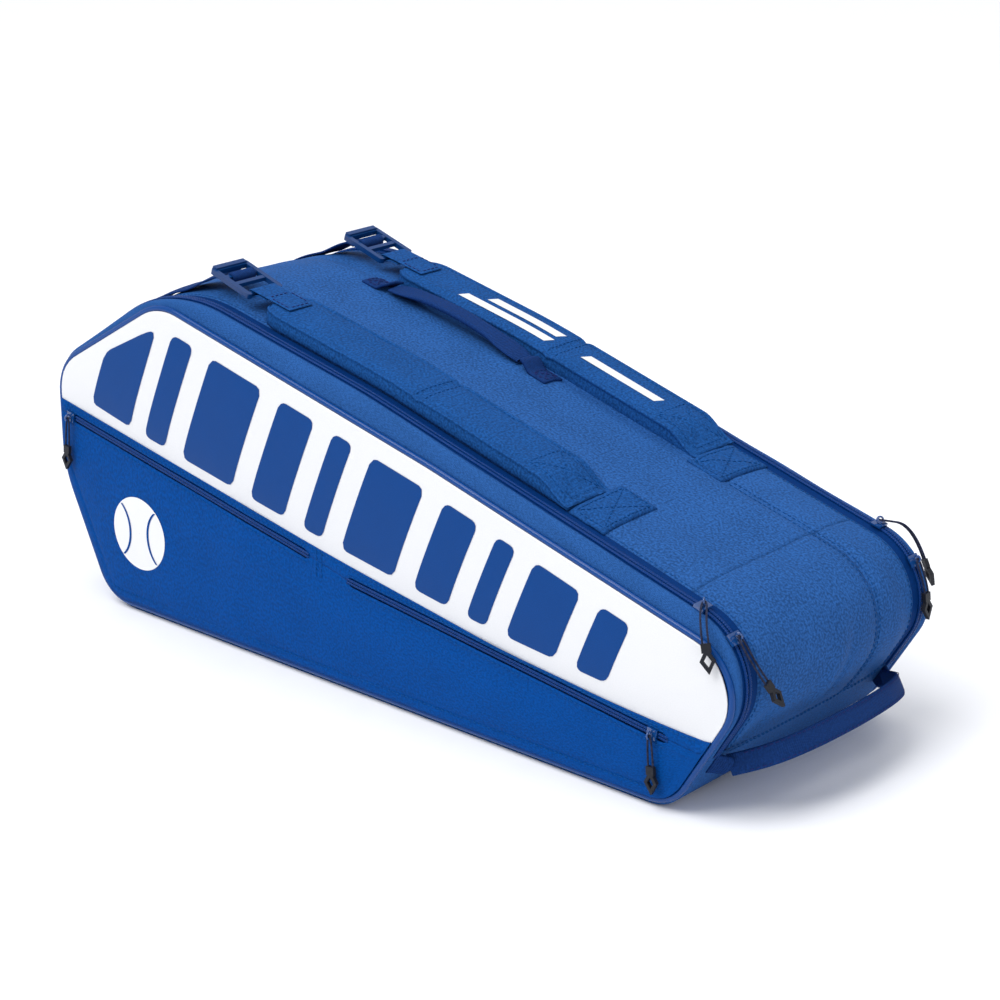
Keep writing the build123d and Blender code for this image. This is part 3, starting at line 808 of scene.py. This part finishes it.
def pocket_seam(x0, x1, height, lift=0.0004):
    """A line on the pocket front. height(x) is its z."""
    xs = spread_between(x0, x1, 0.004)
    return [(x, -pocket_out(x, height(x)) - lift, height(x)) for x in xs]


pocket_seams = [
    pocket_seam(-0.368, pocket_tip - 0.012, lambda x: pocket_line(x) - 0.0018),
    pocket_seam(-0.366, -0.058, lambda x: zip_height(x) - 0.0072),
    pocket_seam(-0.014, 0.322, lambda x: zip_height(x) - 0.0072),
    pocket_seam(-0.366, -0.058, lambda x: zip_height(x) + 0.0058),
    pocket_seam(-0.014, 0.322, lambda x: zip_height(x) + 0.0058),
    pocket_seam(-0.315, 0.318, lambda x: SIDE.low(x) + 0.0085),
]
for x in (-0.049, -0.043):
    pocket_seams.append([(x, -pocket_out(x, z) - 0.0004, z) for z in spread_between(0.0950, 0.1215, 0.002)])
put(stitches("pocket_stitches", pocket_seams, thread), "near_lid", "pocket_fabric")
far_seams = []
for x0, x1, drop in ((-0.368, pocket_tip - 0.012, 0.0018), (-0.368, pocket_tip - 0.012, 0.0070)):
    far_seams.append([(x, lower_out(x, pocket_line(x) - drop) + 0.0004, pocket_line(x) - drop)
                      for x in spread_between(x0, x1, 0.004)])
put(stitches("far_panel_stitches", far_seams, thread), "far_lid", "pocket_fabric")

divider_face = Face(Outline(BODY_CORNERS, inset=0.0056))
divider = side_sheet(
    "divider_cloth", -1, divider_face.columns(size=0.010), divider_face.low, divider_face.high,
    lambda x, z: -(DIVIDER_Y - 0.0014 + 0.0008 * uneven(x * 6, z * 6, 2)), 24, lining_cloth,
)
sew(divider, 0.0026, "body", "lining", "divider_panel")


# ---- printed shapes ------------------------------------------------------------------------------
BAR_SLANT = 0.42
BAR_CORNER = 0.0065
BARS = [(-0.318, 0.060), (-0.238, 0.026), (-0.190, 0.062), (-0.106, 0.040), (-0.044, 0.022), (0.000, 0.058),
        (0.080, 0.036), (0.136, 0.020), (0.176, 0.048), (0.244, 0.030)]


def printed_bar(name, side, x0, wide, material):
    """A slanted round-cornered bar that keeps a margin from the coated panel's two edges."""
    corner = min(BAR_CORNER, wide * 0.3)
    us = [0, 0.04, 0.10, 0.18, 0.30, 0.42, 0.58, 0.70, 0.82, 0.90, 0.96, 1]
    rows = []
    for j in range(29):
        row = []
        for u in us:
            across_bar = u * wide
            edge = min(across_bar, wide - across_bar)
            cut = 0 if edge >= corner else corner - math.sqrt(max(corner**2 - (corner - edge) ** 2, 0))
            x_mid = x0 + across_bar
            top_limit = SIDE.high(x_mid + 0.018) - 0.017 - cut
            low_limit = pocket_line(x_mid) + 0.016 + cut
            z = low_limit + (top_limit - low_limit) * j / 28
            x = x_mid + BAR_SLANT * (z - (low_limit + top_limit) / 2)
            row.append((x, side * (coated_out(x, z) + 0.00035), z))
        rows.append(row)
    return grid(name, rows, material, flip=side > 0)


for word, side in SIDES.items():
    for i, (x0, wide) in enumerate(BARS):
        put(printed_bar(f"{word}_printed_bar_{i + 1}", side, x0, wide, print_blue), f"{word}_lid", "coated_fabric")

BALL_X, BALL_Z, BALL_R = -0.272, 0.080, 0.034


def disc_point(radius, angle, lift):
    x = BALL_X + radius * math.cos(angle)
    z = BALL_Z + radius * math.sin(angle)
    return (x, -pocket_out(x, z) - lift, z)


rows = [[disc_point(BALL_R * r / 8, 2 * math.pi * k / 72, 0.0003) for k in range(72)] for r in range(1, 9)]
rows.insert(0, [disc_point(0.0002, 2 * math.pi * k / 72, 0.0003) for k in range(72)])
rows.reverse()
put(grid("printed_ball", rows, print_white, close_rows=True, flip=True), "near_lid", "pocket_fabric")
for i, (middle, facing) in enumerate(((BALL_X - 0.034, 1), (BALL_X + 0.034, -1))):
    seam = []
    for k in range(25):
        angle = math.radians(-58 + 116 * k / 24)
        x = middle + facing * 0.0225 * math.cos(angle)
        z = BALL_Z + 0.0285 * math.sin(angle)
        seam.append((x, z))
    rows = []
    for w in (-0.0013, 0.0013):
        rows.append([(x + w, -pocket_out(x, z) - 0.0006, z) for x, z in seam])
    put(grid(f"printed_ball_seam_{i + 1}", rows, pocket_cloth, flip=True), "near_lid", "pocket_fabric")


# ---- shoulder straps -----------------------------------------------------------------------------
PAD_SEAM_X = 0.038
THINS_FROM = 0.165


def pad_section(x):
    """Half the pad's width and its lowest and highest heights above the body at x."""
    from_end = x - STRAP_FROM
    radius = 0.024
    half = (STRAP_OUT - STRAP_IN) / 2
    if from_end < radius:
        half += math.sqrt(max(radius**2 - (radius - from_end) ** 2, 0)) - radius
    high = 0.0152
    if x > THINS_FROM:
        high += (0.0042 - high) * smooth((x - THINS_FROM) / (STRAP_TO - THINS_FROM))
    high -= 0.0020 * bump_at(x, PAD_SEAM_X, 0.0030)
    high -= 0.0035 * (1 - smooth(from_end / 0.010))
    return half, 0.0012, high


def pad_ring(x, side):
    """Points round the pad at x: flat below, full gusset sides, bound edges and a crowned top."""
    half, low, high = pad_section(x)
    t = top_t(x)
    ox, oz, nx, nz = BODY.at(t)
    bead = min(0.0013, (high - low) * 0.2, half * 0.2)
    pucker = smooth((x - 0.146) / 0.02)
    ring = []

    def place(y, height):
        ring.append((ox + nx * height, side * (STRAP_MIDDLE + y), oz + nz * height))

    for k in range(9):
        share = -1 + k / 4
        place(share * (half - bead), low)
    for k in range(1, 6):
        share = k / 6
        place(half - bead + bead * 0.6 * math.sin(math.pi * share), low + (high - bead * 2 - low) * share)
    for k in range(5):
        angle = math.radians(-70 + 190 * k / 4)
        place(half - bead + bead * math.cos(angle), high - bead + bead * math.sin(angle))
    for k in range(1, 16):
        share = 1 - k / 8
        wave = uneven(x * 30, share * 2.2 + side, 4.4) * 0.0006
        creases = uneven(x * 95, share * 5 + side, 9.1) * 0.0016 * pucker
        crown_here = 0.0016 * (1 - share**4) - 0.0012 * bump_at(abs(share), 0.90, 0.07)
        place(share * (half - bead), high - 0.0004 + crown_here + wave + creases)
    for k in range(5):
        angle = math.radians(60 + 190 * k / 4)
        place(-(half - bead) + bead * math.cos(angle), high - bead + bead * math.sin(angle))
    for k in range(5, 0, -1):
        share = k / 6
        place(-(half - bead + bead * 0.6 * math.sin(math.pi * share)), low + (high - bead * 2 - low) * share)
    return ring


def pad_top(x, y, side, lift=0.0005):
    """A point on the pad's top face. y is measured from the pad's middle line."""
    half, _, high = pad_section(x)
    share = min(abs(y) / (half - 0.0013), 1)
    height = high - 0.0004 + 0.0016 * (1 - share**4) - 0.0012 * bump_at(share, 0.90, 0.07) + lift
    top_x, top_z = above_top(x, height)
    return (top_x, side * (STRAP_MIDDLE + y), top_z)


def strap_pad(side, word):
    marks = [0.0002, 0.0008, 0.0018, 0.0034, 0.0056, 0.0085, 0.012, 0.016, 0.021]
    xs = [STRAP_FROM + m for m in marks] + spread_between(STRAP_FROM + 0.026, STRAP_TO, 0.0035)
    rings = [pad_ring(x, side) for x in xs]
    for i, amount in ((0, 0.85), (-1, 0.97)):
        middle = sum((Vector(p) for p in rings[i]), Vector()) / len(rings[i])
        cap = [middle.lerp(Vector(p), 1 - amount) for p in rings[i]]
        rings.insert(0, cap) if i == 0 else rings.append(cap)
    pad = grid(f"{word}_strap_cushion", rings, strap_cloth, close_rows=True, flip=side > 0)
    put(pad, f"{word}_strap", "strap_fabric", f"{word}_strap_pad")
    lines = []
    for share in (-0.88, 0.88):
        half = (STRAP_OUT - STRAP_IN) / 2
        lines.append([pad_top(x, share * half, side) for x in spread_between(STRAP_FROM + 0.022, 0.196, 0.004)])
    for shift in (-0.0045, 0.0045):
        lines.append([pad_top(PAD_SEAM_X + shift, y, side) for y in spread_between(-0.0225, 0.0225, 0.002)])
    box = [(0.150, -0.019), (0.192, -0.019), (0.192, 0.019), (0.150, 0.019), (0.150, -0.019)]
    for (x0, y0), (x1, y1) in crossed(box):
        lines.append([pad_top(x0 + (x1 - x0) * k / 16, y0 + (y1 - y0) * k / 16, side) for k in range(17)])
    put(stitches(f"{word}_strap_stitches", lines, thread), f"{word}_strap", "strap_fabric")


def strap_tab(side, word):
    """The folded tab that holds the buckle's first bar, with its box of stitches."""
    px, pz = -0.1605, 0.312
    path = []
    for x in spread_between(-0.118, -0.150, 0.004):
        path.append(above_top(x, 0.0176))
    eye = 0.0033
    for k in range(11):
        angle = math.radians(75 + 190 * k / 10)
        path.append((px + eye * math.cos(angle), pz + eye * math.sin(angle)))
    for x in spread_between(-0.157, -0.146, 0.004):
        path.append(above_top(x, 0.0150))
    ys = spread_between(-0.014, 0.014, 0.0035)
    rows = [[(x, side * STRAP_MIDDLE + y, z) for x, z in reversed(path)] for y in ys]
    tab = thicken(grid(f"{word}_strap_tab_fold", rows, patch_cloth), 0.0014, offset=0)
    put(soften(tab), f"{word}_strap", "strap_fabric", f"{word}_strap_tab")
    lines = []
    corners = [(-0.121, -0.0118), (-0.144, -0.0118), (-0.144, 0.0118), (-0.121, 0.0118), (-0.121, -0.0118)]
    for (x0, y0), (x1, y1) in zip(corners, corners[1:]):
        line = []
        for k in range(13):
            x, y = x0 + (x1 - x0) * k / 12, y0 + (y1 - y0) * k / 12
            top_x, top_z = above_top(x, 0.0187)
            line.append((top_x, side * STRAP_MIDDLE + y, top_z))
        lines.append(line)
    put(stitches(f"{word}_tab_stitches", lines, navy_thread), f"{word}_strap", "strap_fabric")


def patch_creases(x, y, side):
    return uneven(x * 80, y * 110 + side, 2.2) * 0.0011


def strap_patch(side, word):
    """The sewn patch over the strap's lower end, puckered by its crossed stitches."""
    ts = BODY.steps(top_t(0.1996), top_t(0.2345), 0.0025)
    ys = spread_between(0.041, 0.106, 0.0025)
    rows = []
    for y in ys:
        row = []
        for t in ts:
            x = BODY.at(t)[0]
            edge = min(x - 0.1996 + 0.02, 0.2345 - x, y - 0.041, 0.106 - y)
            height = 0.0007 + 0.0015 * smooth(edge / 0.003) + patch_creases(x, y, side)
            row.append(on_body(t, side * y, height))
        rows.append(row)
    if side < 0:
        rows.reverse()
    patch = thicken(grid(f"{word}_strap_patch_cloth", rows, patch_cloth), 0.0016)
    put(patch, "body", "body_fabric", f"{word}_strap_patch")
    lines = []
    box = [(0.203, 0.045), (0.2310, 0.045), (0.2310, 0.102), (0.203, 0.102), (0.203, 0.045)]
    for (x0, y0), (x1, y1) in crossed(box):
        line = []
        for k in range(21):
            x, y = x0 + (x1 - x0) * k / 20, y0 + (y1 - y0) * k / 20
            line.append(on_body(top_t(x), side * y, 0.0026 + patch_creases(x, y, side)))
        lines.append(line)
    put(stitches(f"{word}_patch_stitches", lines, thread), "body", "body_fabric")


def strap_webbing(side, word):
    """Webbing from the buckle's last bar down over the head end to its sewn tab."""
    buckle_x, buckle_z = -0.1885, 0.3212
    foot_t = BODY.find(4, 6, lambda x, z: z - 0.236)
    ts = BODY.steps(foot_t, top_t(-0.205), 0.004)
    rows = []
    for w in spread_between(-0.013, 0.013, 0.0026):
        row = []
        for t in ts:
            x, _, _, _ = BODY.at(t)
            share = (x + 0.216) / (-0.380 + 0.216)
            y = 0.080 + 0.015 * share + w
            height = 0.0026 + 0.0125 * smooth((x + 0.246) / 0.050) + 0.0004 * math.cos(w * 240)
            row.append(on_body(t, side * y, height))
        for u, v in ((-0.1975, 0.3175), (-0.1925, 0.3216), (buckle_x, buckle_z + 0.0032), (-0.1845, 0.3215),
                     (-0.1855, 0.3172), (-0.1905, 0.3158)):
            row.append((u, side * (0.0785 + w), v))
        rows.append(row)
    if side < 0:
        rows.reverse()
    strip = grid(f"{word}_webbing_strip", rows, webbing_cloth)
    thicken(strip, 0.0016, offset=0)
    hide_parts(f"{word}_strap_webbing")
    # lengthwise runs follow the strap near the buckle and the body at the head end
    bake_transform(strip)


def webbing_tab(side, word):
    """The three-cornered fabric tab that holds the webbing's foot in the zip seam."""
    low_t = BODY.find(4, 6, lambda x, z: z - 0.2345)
    rows = []
    for k in range(13):
        share = k / 12
        y = 0.1088 - 0.030 * share
        end_t = BODY.find(5, 8, lambda x, z: x + 0.325 + 0.020 * share)
        row = []
        for i in range(19):
            t = low_t + (end_t - low_t) * i / 18
            edge = min(k / 12, (18 - i) / 12)
            row.append(on_body(t, side * y, 0.0034 + 0.0018 * smooth(edge * 2.2)))
        rows.append(row)
    if side > 0:
        rows.reverse()
    tab = thicken(grid(f"{word}_webbing_tab_cloth", rows, patch_cloth), 0.0016)
    put(tab, "body", "body_fabric", f"{word}_webbing_tab")
    lines = []
    for shift in (0.0030, 0.0060):
        line = []
        for k in range(15):
            share = k / 14
            y = 0.1075 - 0.028 * share
            t = BODY.find(5, 8, lambda x, z: x + 0.325 + 0.020 * share + shift)
            line.append(on_body(t, side * y, 0.0056))
        lines.append(line)
    put(stitches(f"{word}_webbing_tab_stitches", lines, thread), "body", "body_fabric")


for word, side in SIDES.items():
    strap_pad(side, word)
    strap_tab(side, word)
    strap_patch(side, word)
    strap_webbing(side, word)
    webbing_tab(side, word)

for i, (x0, x1, low, high) in enumerate(((-0.075, 0.022, -0.013, -0.003), (-0.055, 0.022, 0.003, 0.013),
                                         (0.056, 0.135, -0.005, 0.005))):
    rows = []
    for w in spread_between(low, high, 0.0025):
        rows.append([pad_top(x + 0.35 * (w - low), w, 1, 0.0004) for x in spread_between(x0, x1, 0.004)])
    put(grid(f"strap_stripe_{i + 1}", rows, print_white), "far_strap", "strap_fabric")


# ---- handles -------------------------------------------------------------------------------------
HEAD_GAP = 0.0042
END_GAP = 0.0017


def top_handle():
    """A webbing strap folded narrow in the middle, arched over the top."""
    head_x, end_x, y_mid = -0.118, 0.031, 0.0375
    z0, z1 = 0.262 + 52 / 234 * 0.118 + 0.0086, 0.262 - (0.262 - 0.1455) / 0.410 * 0.031 + 0.0086
    rows = []
    steps = 44
    for i in range(steps + 1):
        share = i / steps
        x = head_x + (end_x - head_x) * share
        arch = 4 * share * (1 - share)
        z = z0 + (z1 - z0) * share + 0.0085 * arch + 0.0009
        middle = smooth((arch - 0.45) / 0.35)
        half, thick = 0.012 - 0.0030 * middle, 0.0014 + 0.0011 * middle
        half -= 0.0022 * (1 - smooth(arch / 0.30))
        ring = []
        for c, s in around(20):
            wide = math.copysign(abs(c) ** 0.45, c) * half
            tall = math.copysign(abs(s) ** 0.55, s) * thick
            fold = -0.0005 * middle * bump_at(wide, 0.0, 0.0016) * (1 if s > 0 else 0)
            ring.append((x, y_mid + wide, z + tall + fold))
        rows.append(ring)
    loop = grid("top_handle_webbing", rows, webbing_cloth, close_rows=True, flip=True)
    put(loop, "top_handle", "navy_webbing", "top_handle")
    for name, x, toward in (("head", head_x, -1), ("end", end_x, 1)):
        line = []
        gap = HEAD_GAP if toward < 0 else END_GAP
        for k in range(15):
            share = k / 14
            px = x + toward * (gap + (0.0304 - gap) * share)
            height = 0.0020 + 0.0072 * (1 - smooth(share * 2.2))
            line.append((px, height))
        rows = []
        for w in spread_between(-0.012, 0.012, 0.0024):
            rows.append([on_body(top_t(px), y_mid + w, height) for px, height in line])
        if toward < 0:
            rows.reverse()
        foot = thicken(grid(f"top_handle_foot_{name}", rows, webbing_cloth), 0.0022)
        put(foot, "body", "navy_webbing", f"top_handle_anchor_{name}")
        sewn = []
        box = [(0.015, -0.0095), (0.028, -0.0095), (0.028, 0.0095), (0.015, 0.0095), (0.015, -0.0095)]
        for (a0, b0), (a1, b1) in crossed(box):
            sewn.append([on_body(top_t(x + toward * (a0 + (a1 - a0) * k / 8)), y_mid + b0 + (b1 - b0) * k / 8, 0.0028)
                         for k in range(9)])
        put(stitches(f"top_handle_stitches_{name}", sewn, navy_thread), "body", "navy_webbing")


def raised(x, y, z):
    """A point of the level end handle, turned up about the line through its two sewn ends."""
    (hinge_x, hinge_z), c, s = END_HINGE, math.cos(END_RAISE), math.sin(END_RAISE)
    dx, dz = x - hinge_x, z - hinge_z
    return (hinge_x + dx * c - dz * s, y, hinge_z + dx * s + dz * c)


def end_handle():
    """Two layers of webbing sewn together, bowed out across the handle end."""
    knots = [(0.358, -0.1045), (0.372, -0.098), (0.385, -0.087), (0.3945, -0.068), (0.4005, -0.040), (0.403, 0)]
    knots += [(x, -y) for x, y in reversed(knots[:-1])]
    line = []
    for a, b, c, d in zip(knots[:1] + knots, knots, knots[1:], knots[2:] + knots[-1:]):
        for k in range(8):
            s = k / 8
            line.append(tuple(
                0.5 * (2 * q + (r - p) * s + (2 * p - 5 * q + 4 * r - v) * s * s + (3 * q - p - 3 * r + v) * s**3)
                for p, q, r, v in zip(a, b, c, d)))
    line.append(knots[-1])
    rows = []
    for i, (x, y) in enumerate(line):
        before, after = Vector(line[max(i - 1, 0)]), Vector(line[min(i + 1, len(line) - 1)])
        along = (after - before).normalized()
        out = Vector((along.y, -along.x))
        share = i / (len(line) - 1)
        sag = 0.0016 * math.sin(math.pi * share)
        lean = 0.10 * math.sin(math.pi * share)
        ring = []
        for c, s in around(22):
            tall = math.copysign(abs(s) ** 0.5, s) * 0.0087
            thick = math.copysign(abs(c) ** 0.5, c) * 0.0021
            if abs(s) > 0.93:
                tall -= math.copysign(0.0007 * bump_at(thick, 0, 0.0006), s)
            shift = thick - lean * tall
            ring.append(raised(x + out.x * shift, y + out.y * shift, END_HINGE[1] - sag + tall))
        rows.append(ring)
    loop = grid("end_handle_webbing", rows, webbing_cloth, close_rows=True, flip=True)
    put(loop, "end_handle", "navy_webbing", "end_handle")
    edges = []
    for shift in (-0.0068, 0.0068):
        edge = []
        for (x, y), ring in zip(line, rows):
            share = (y + END_REACH) / (2 * END_REACH)
            sag, lean = 0.0016 * math.sin(math.pi * share), 0.10 * math.sin(math.pi * share)
            wide = y * 1.012 if abs(y) > 0.09 else y
            edge.append(raised(x + 0.0024 - lean * shift, wide, END_HINGE[1] - sag + shift))
        edges.append(edge[6:-6])
    put(stitches("end_handle_stitches", edges, navy_thread), "end_handle", "navy_webbing")
    for word, side in SIDES.items():
        rows = []
        for j in range(11):
            share = j / 10
            y = 0.1065 + 0.0080 * share
            row = []
            for i in range(13):
                z = 0.0335 + (0.0515 - 0.0335) * i / 12
                t = BODY.find(12, 14.5, lambda px, pz: z - pz)
                x, _, nx, nz = BODY.at(t)
                reach = 0.0150 * (1 - share) ** 1.3 * (1 - 0.35 * abs(i / 6 - 1) ** 3) + 0.0012
                row.append((x + nx * reach, side * y, z + nz * reach * 0.2))
            rows.append(row)
        foot = thicken(grid(f"end_handle_foot_{word}", rows, webbing_cloth, flip=side > 0), 0.0030)
        put(soften(foot), "body", "navy_webbing", f"end_handle_anchor_{word}")


top_handle()
end_handle()


# ---- sliders, buckles, pulls and their cords -----------------------------------------------------
STRAND = 0.0023
CORD = 0.0016
TAB_LONG = 0.023
PULLS = {
    "near_upper": ([(0.33872, -0.116, 0.1723), (0.353, -0.1365, 0.1655), (0.3635, -0.1405, 0.129)],
                   (-0.8414, -0.5034, -0.1966), 0.0824),
    "far_upper": ([(0.33872, 0.116, 0.1723), (0.356, 0.1365, 0.167), (0.377, 0.1395, 0.119)],
                  (0.777, -0.5428, 0.3187), 0.1116),
    "near_lower": ([(0.37083, -0.116, 0.15371), (0.384, -0.109, 0.128), (0.399, -0.096, 0.099)],
                   (0.2078, -0.9483, -0.2397), 0.0865),
    "far_lower": ([(0.37523, 0.116, 0.14832), (0.3845, 0.116, 0.128), (0.387, 0.1175, 0.099)],
                  (0.0085, -0.9996, -0.0284), 0.0597),
    "pocket_head": ([(-0.359, -0.1391, 0.17094), (-0.364, -0.1391, 0.12094)], (-0.995, 0, 0.0995), 0.0573),
    "pocket_handle": ([(0.308, -0.1391, 0.06299), (0.312, -0.1391, 0.01499)], (-0.9965, 0, -0.083), 0.0532),
}


def dress(node, material, bevel):
    """A rigid piece of the frame, with small rounded edges and its own finish."""
    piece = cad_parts[node]
    for entry in piece.material_slots:
        entry.material = material
    if not piece.material_slots:
        piece.data.materials.append(material)
    edge = piece.modifiers.new("edges", "BEVEL")
    edge.width = bevel
    edge.segments = 3
    edge.limit_method = "ANGLE"
    edge.angle_limit = math.radians(40)
    return piece


for name, (route, hinge, length) in PULLS.items():
    route = [Vector(point) for point in route]
    hinge = Vector(hinge)
    along = (route[-1] - route[-2]).normalized()
    route[-1] = route[-1] - along * TAB_LONG
    points = [point + hinge * STRAND for point in reversed(route)] + [point - hinge * STRAND for point in route]
    curve = bpy.data.curves.new(f"{name}_pull_loop", "CURVE")
    curve.dimensions = "3D"
    curve.bevel_depth = CORD / 2
    curve.bevel_resolution = 4
    curve.resolution_u = 24
    spline = curve.splines.new("NURBS")
    spline.points.add(len(points) - 1)
    for spot, point in zip(spline.points, points):
        spot.co = (*point, 1)
    spline.order_u = 3
    spline.use_endpoint_u = True
    curve.materials.append(cord_braid)
    strands = bpy.data.objects.new(f"{name}_pull_loop", curve)
    bpy.context.scene.collection.objects.link(strands)
    tab = dress(f"{name}_tab", rubber, 0.0007)
    dress(f"{name}_slider", enamel, 0.0003)
    put(strands, f"{name}_pull", "pull_cord", f"{name}_cord")
    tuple(points[0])
for word in SIDES:
    dress(f"{word}_buckle", buckle_plastic, 0.0009)


# ---- floor, light and camera ---------------------------------------------------------------------
FLOOR = 14
AZIMUTH = 41.43
ELEVATION = 19.70
floor_stuff = smooth_stuff("studio_floor", (0.88, 0.885, 0.90), (0.6, 0.75), spread=0.01, use_uv=False)
floor = grid("studio_floor", [[(x, y, 0) for x in (-FLOOR, FLOOR)] for y in (-FLOOR, FLOOR)], floor_stuff)

world = bpy.data.worlds.new("studio")
world.use_nodes = True
world.node_tree.nodes["Background"].inputs["Color"].default_value = (0.93, 0.95, 1.0, 1)
world.node_tree.nodes["Background"].inputs["Strength"].default_value = 0.62
bpy.context.scene.world = world


def lamp(name, place, target, size, power, colour=(1, 1, 1)):
    light = bpy.data.lights.new(name, "AREA")
    light.size = size
    light.energy = power
    light.color = colour
    holder = bpy.data.objects.new(name, light)
    holder.location = place
    holder.rotation_euler = (Vector(target) - Vector(place)).to_track_quat("-Z", "Y").to_euler()
    bpy.context.scene.collection.objects.link(holder)


lamp("key", (-0.6, -2.2, 2.4), (0, 0, 0.12), 1.6, 24)
lamp("fill", (2.4, -0.9, 1.2), (0, 0, 0.12), 1.4, 10)
lamp("top", (0.2, 0.8, 2.6), (0, 0, 0.2), 1.8, 16)
sky = bpy.data.lights.new("sky", "SUN")
sky.energy = 2.0
sky.angle = math.radians(45)
sky_holder = bpy.data.objects.new("sky", sky)
sky_holder.rotation_euler = (math.radians(28), math.radians(-14), 0)
bpy.context.scene.collection.objects.link(sky_holder)

eye = bpy.data.cameras.new("camera")
eye.lens = 91.4
eye.sensor_width = 36
camera = bpy.data.objects.new("camera", eye)
camera.location = (1.3702, -1.5113, 0.8703)
camera.rotation_euler = (math.radians(90 - ELEVATION), 0, math.radians(AZIMUTH))
bpy.context.scene.collection.objects.link(camera)
bpy.context.scene.camera = camera
bpy.context.scene.view_settings.view_transform = "Standard"
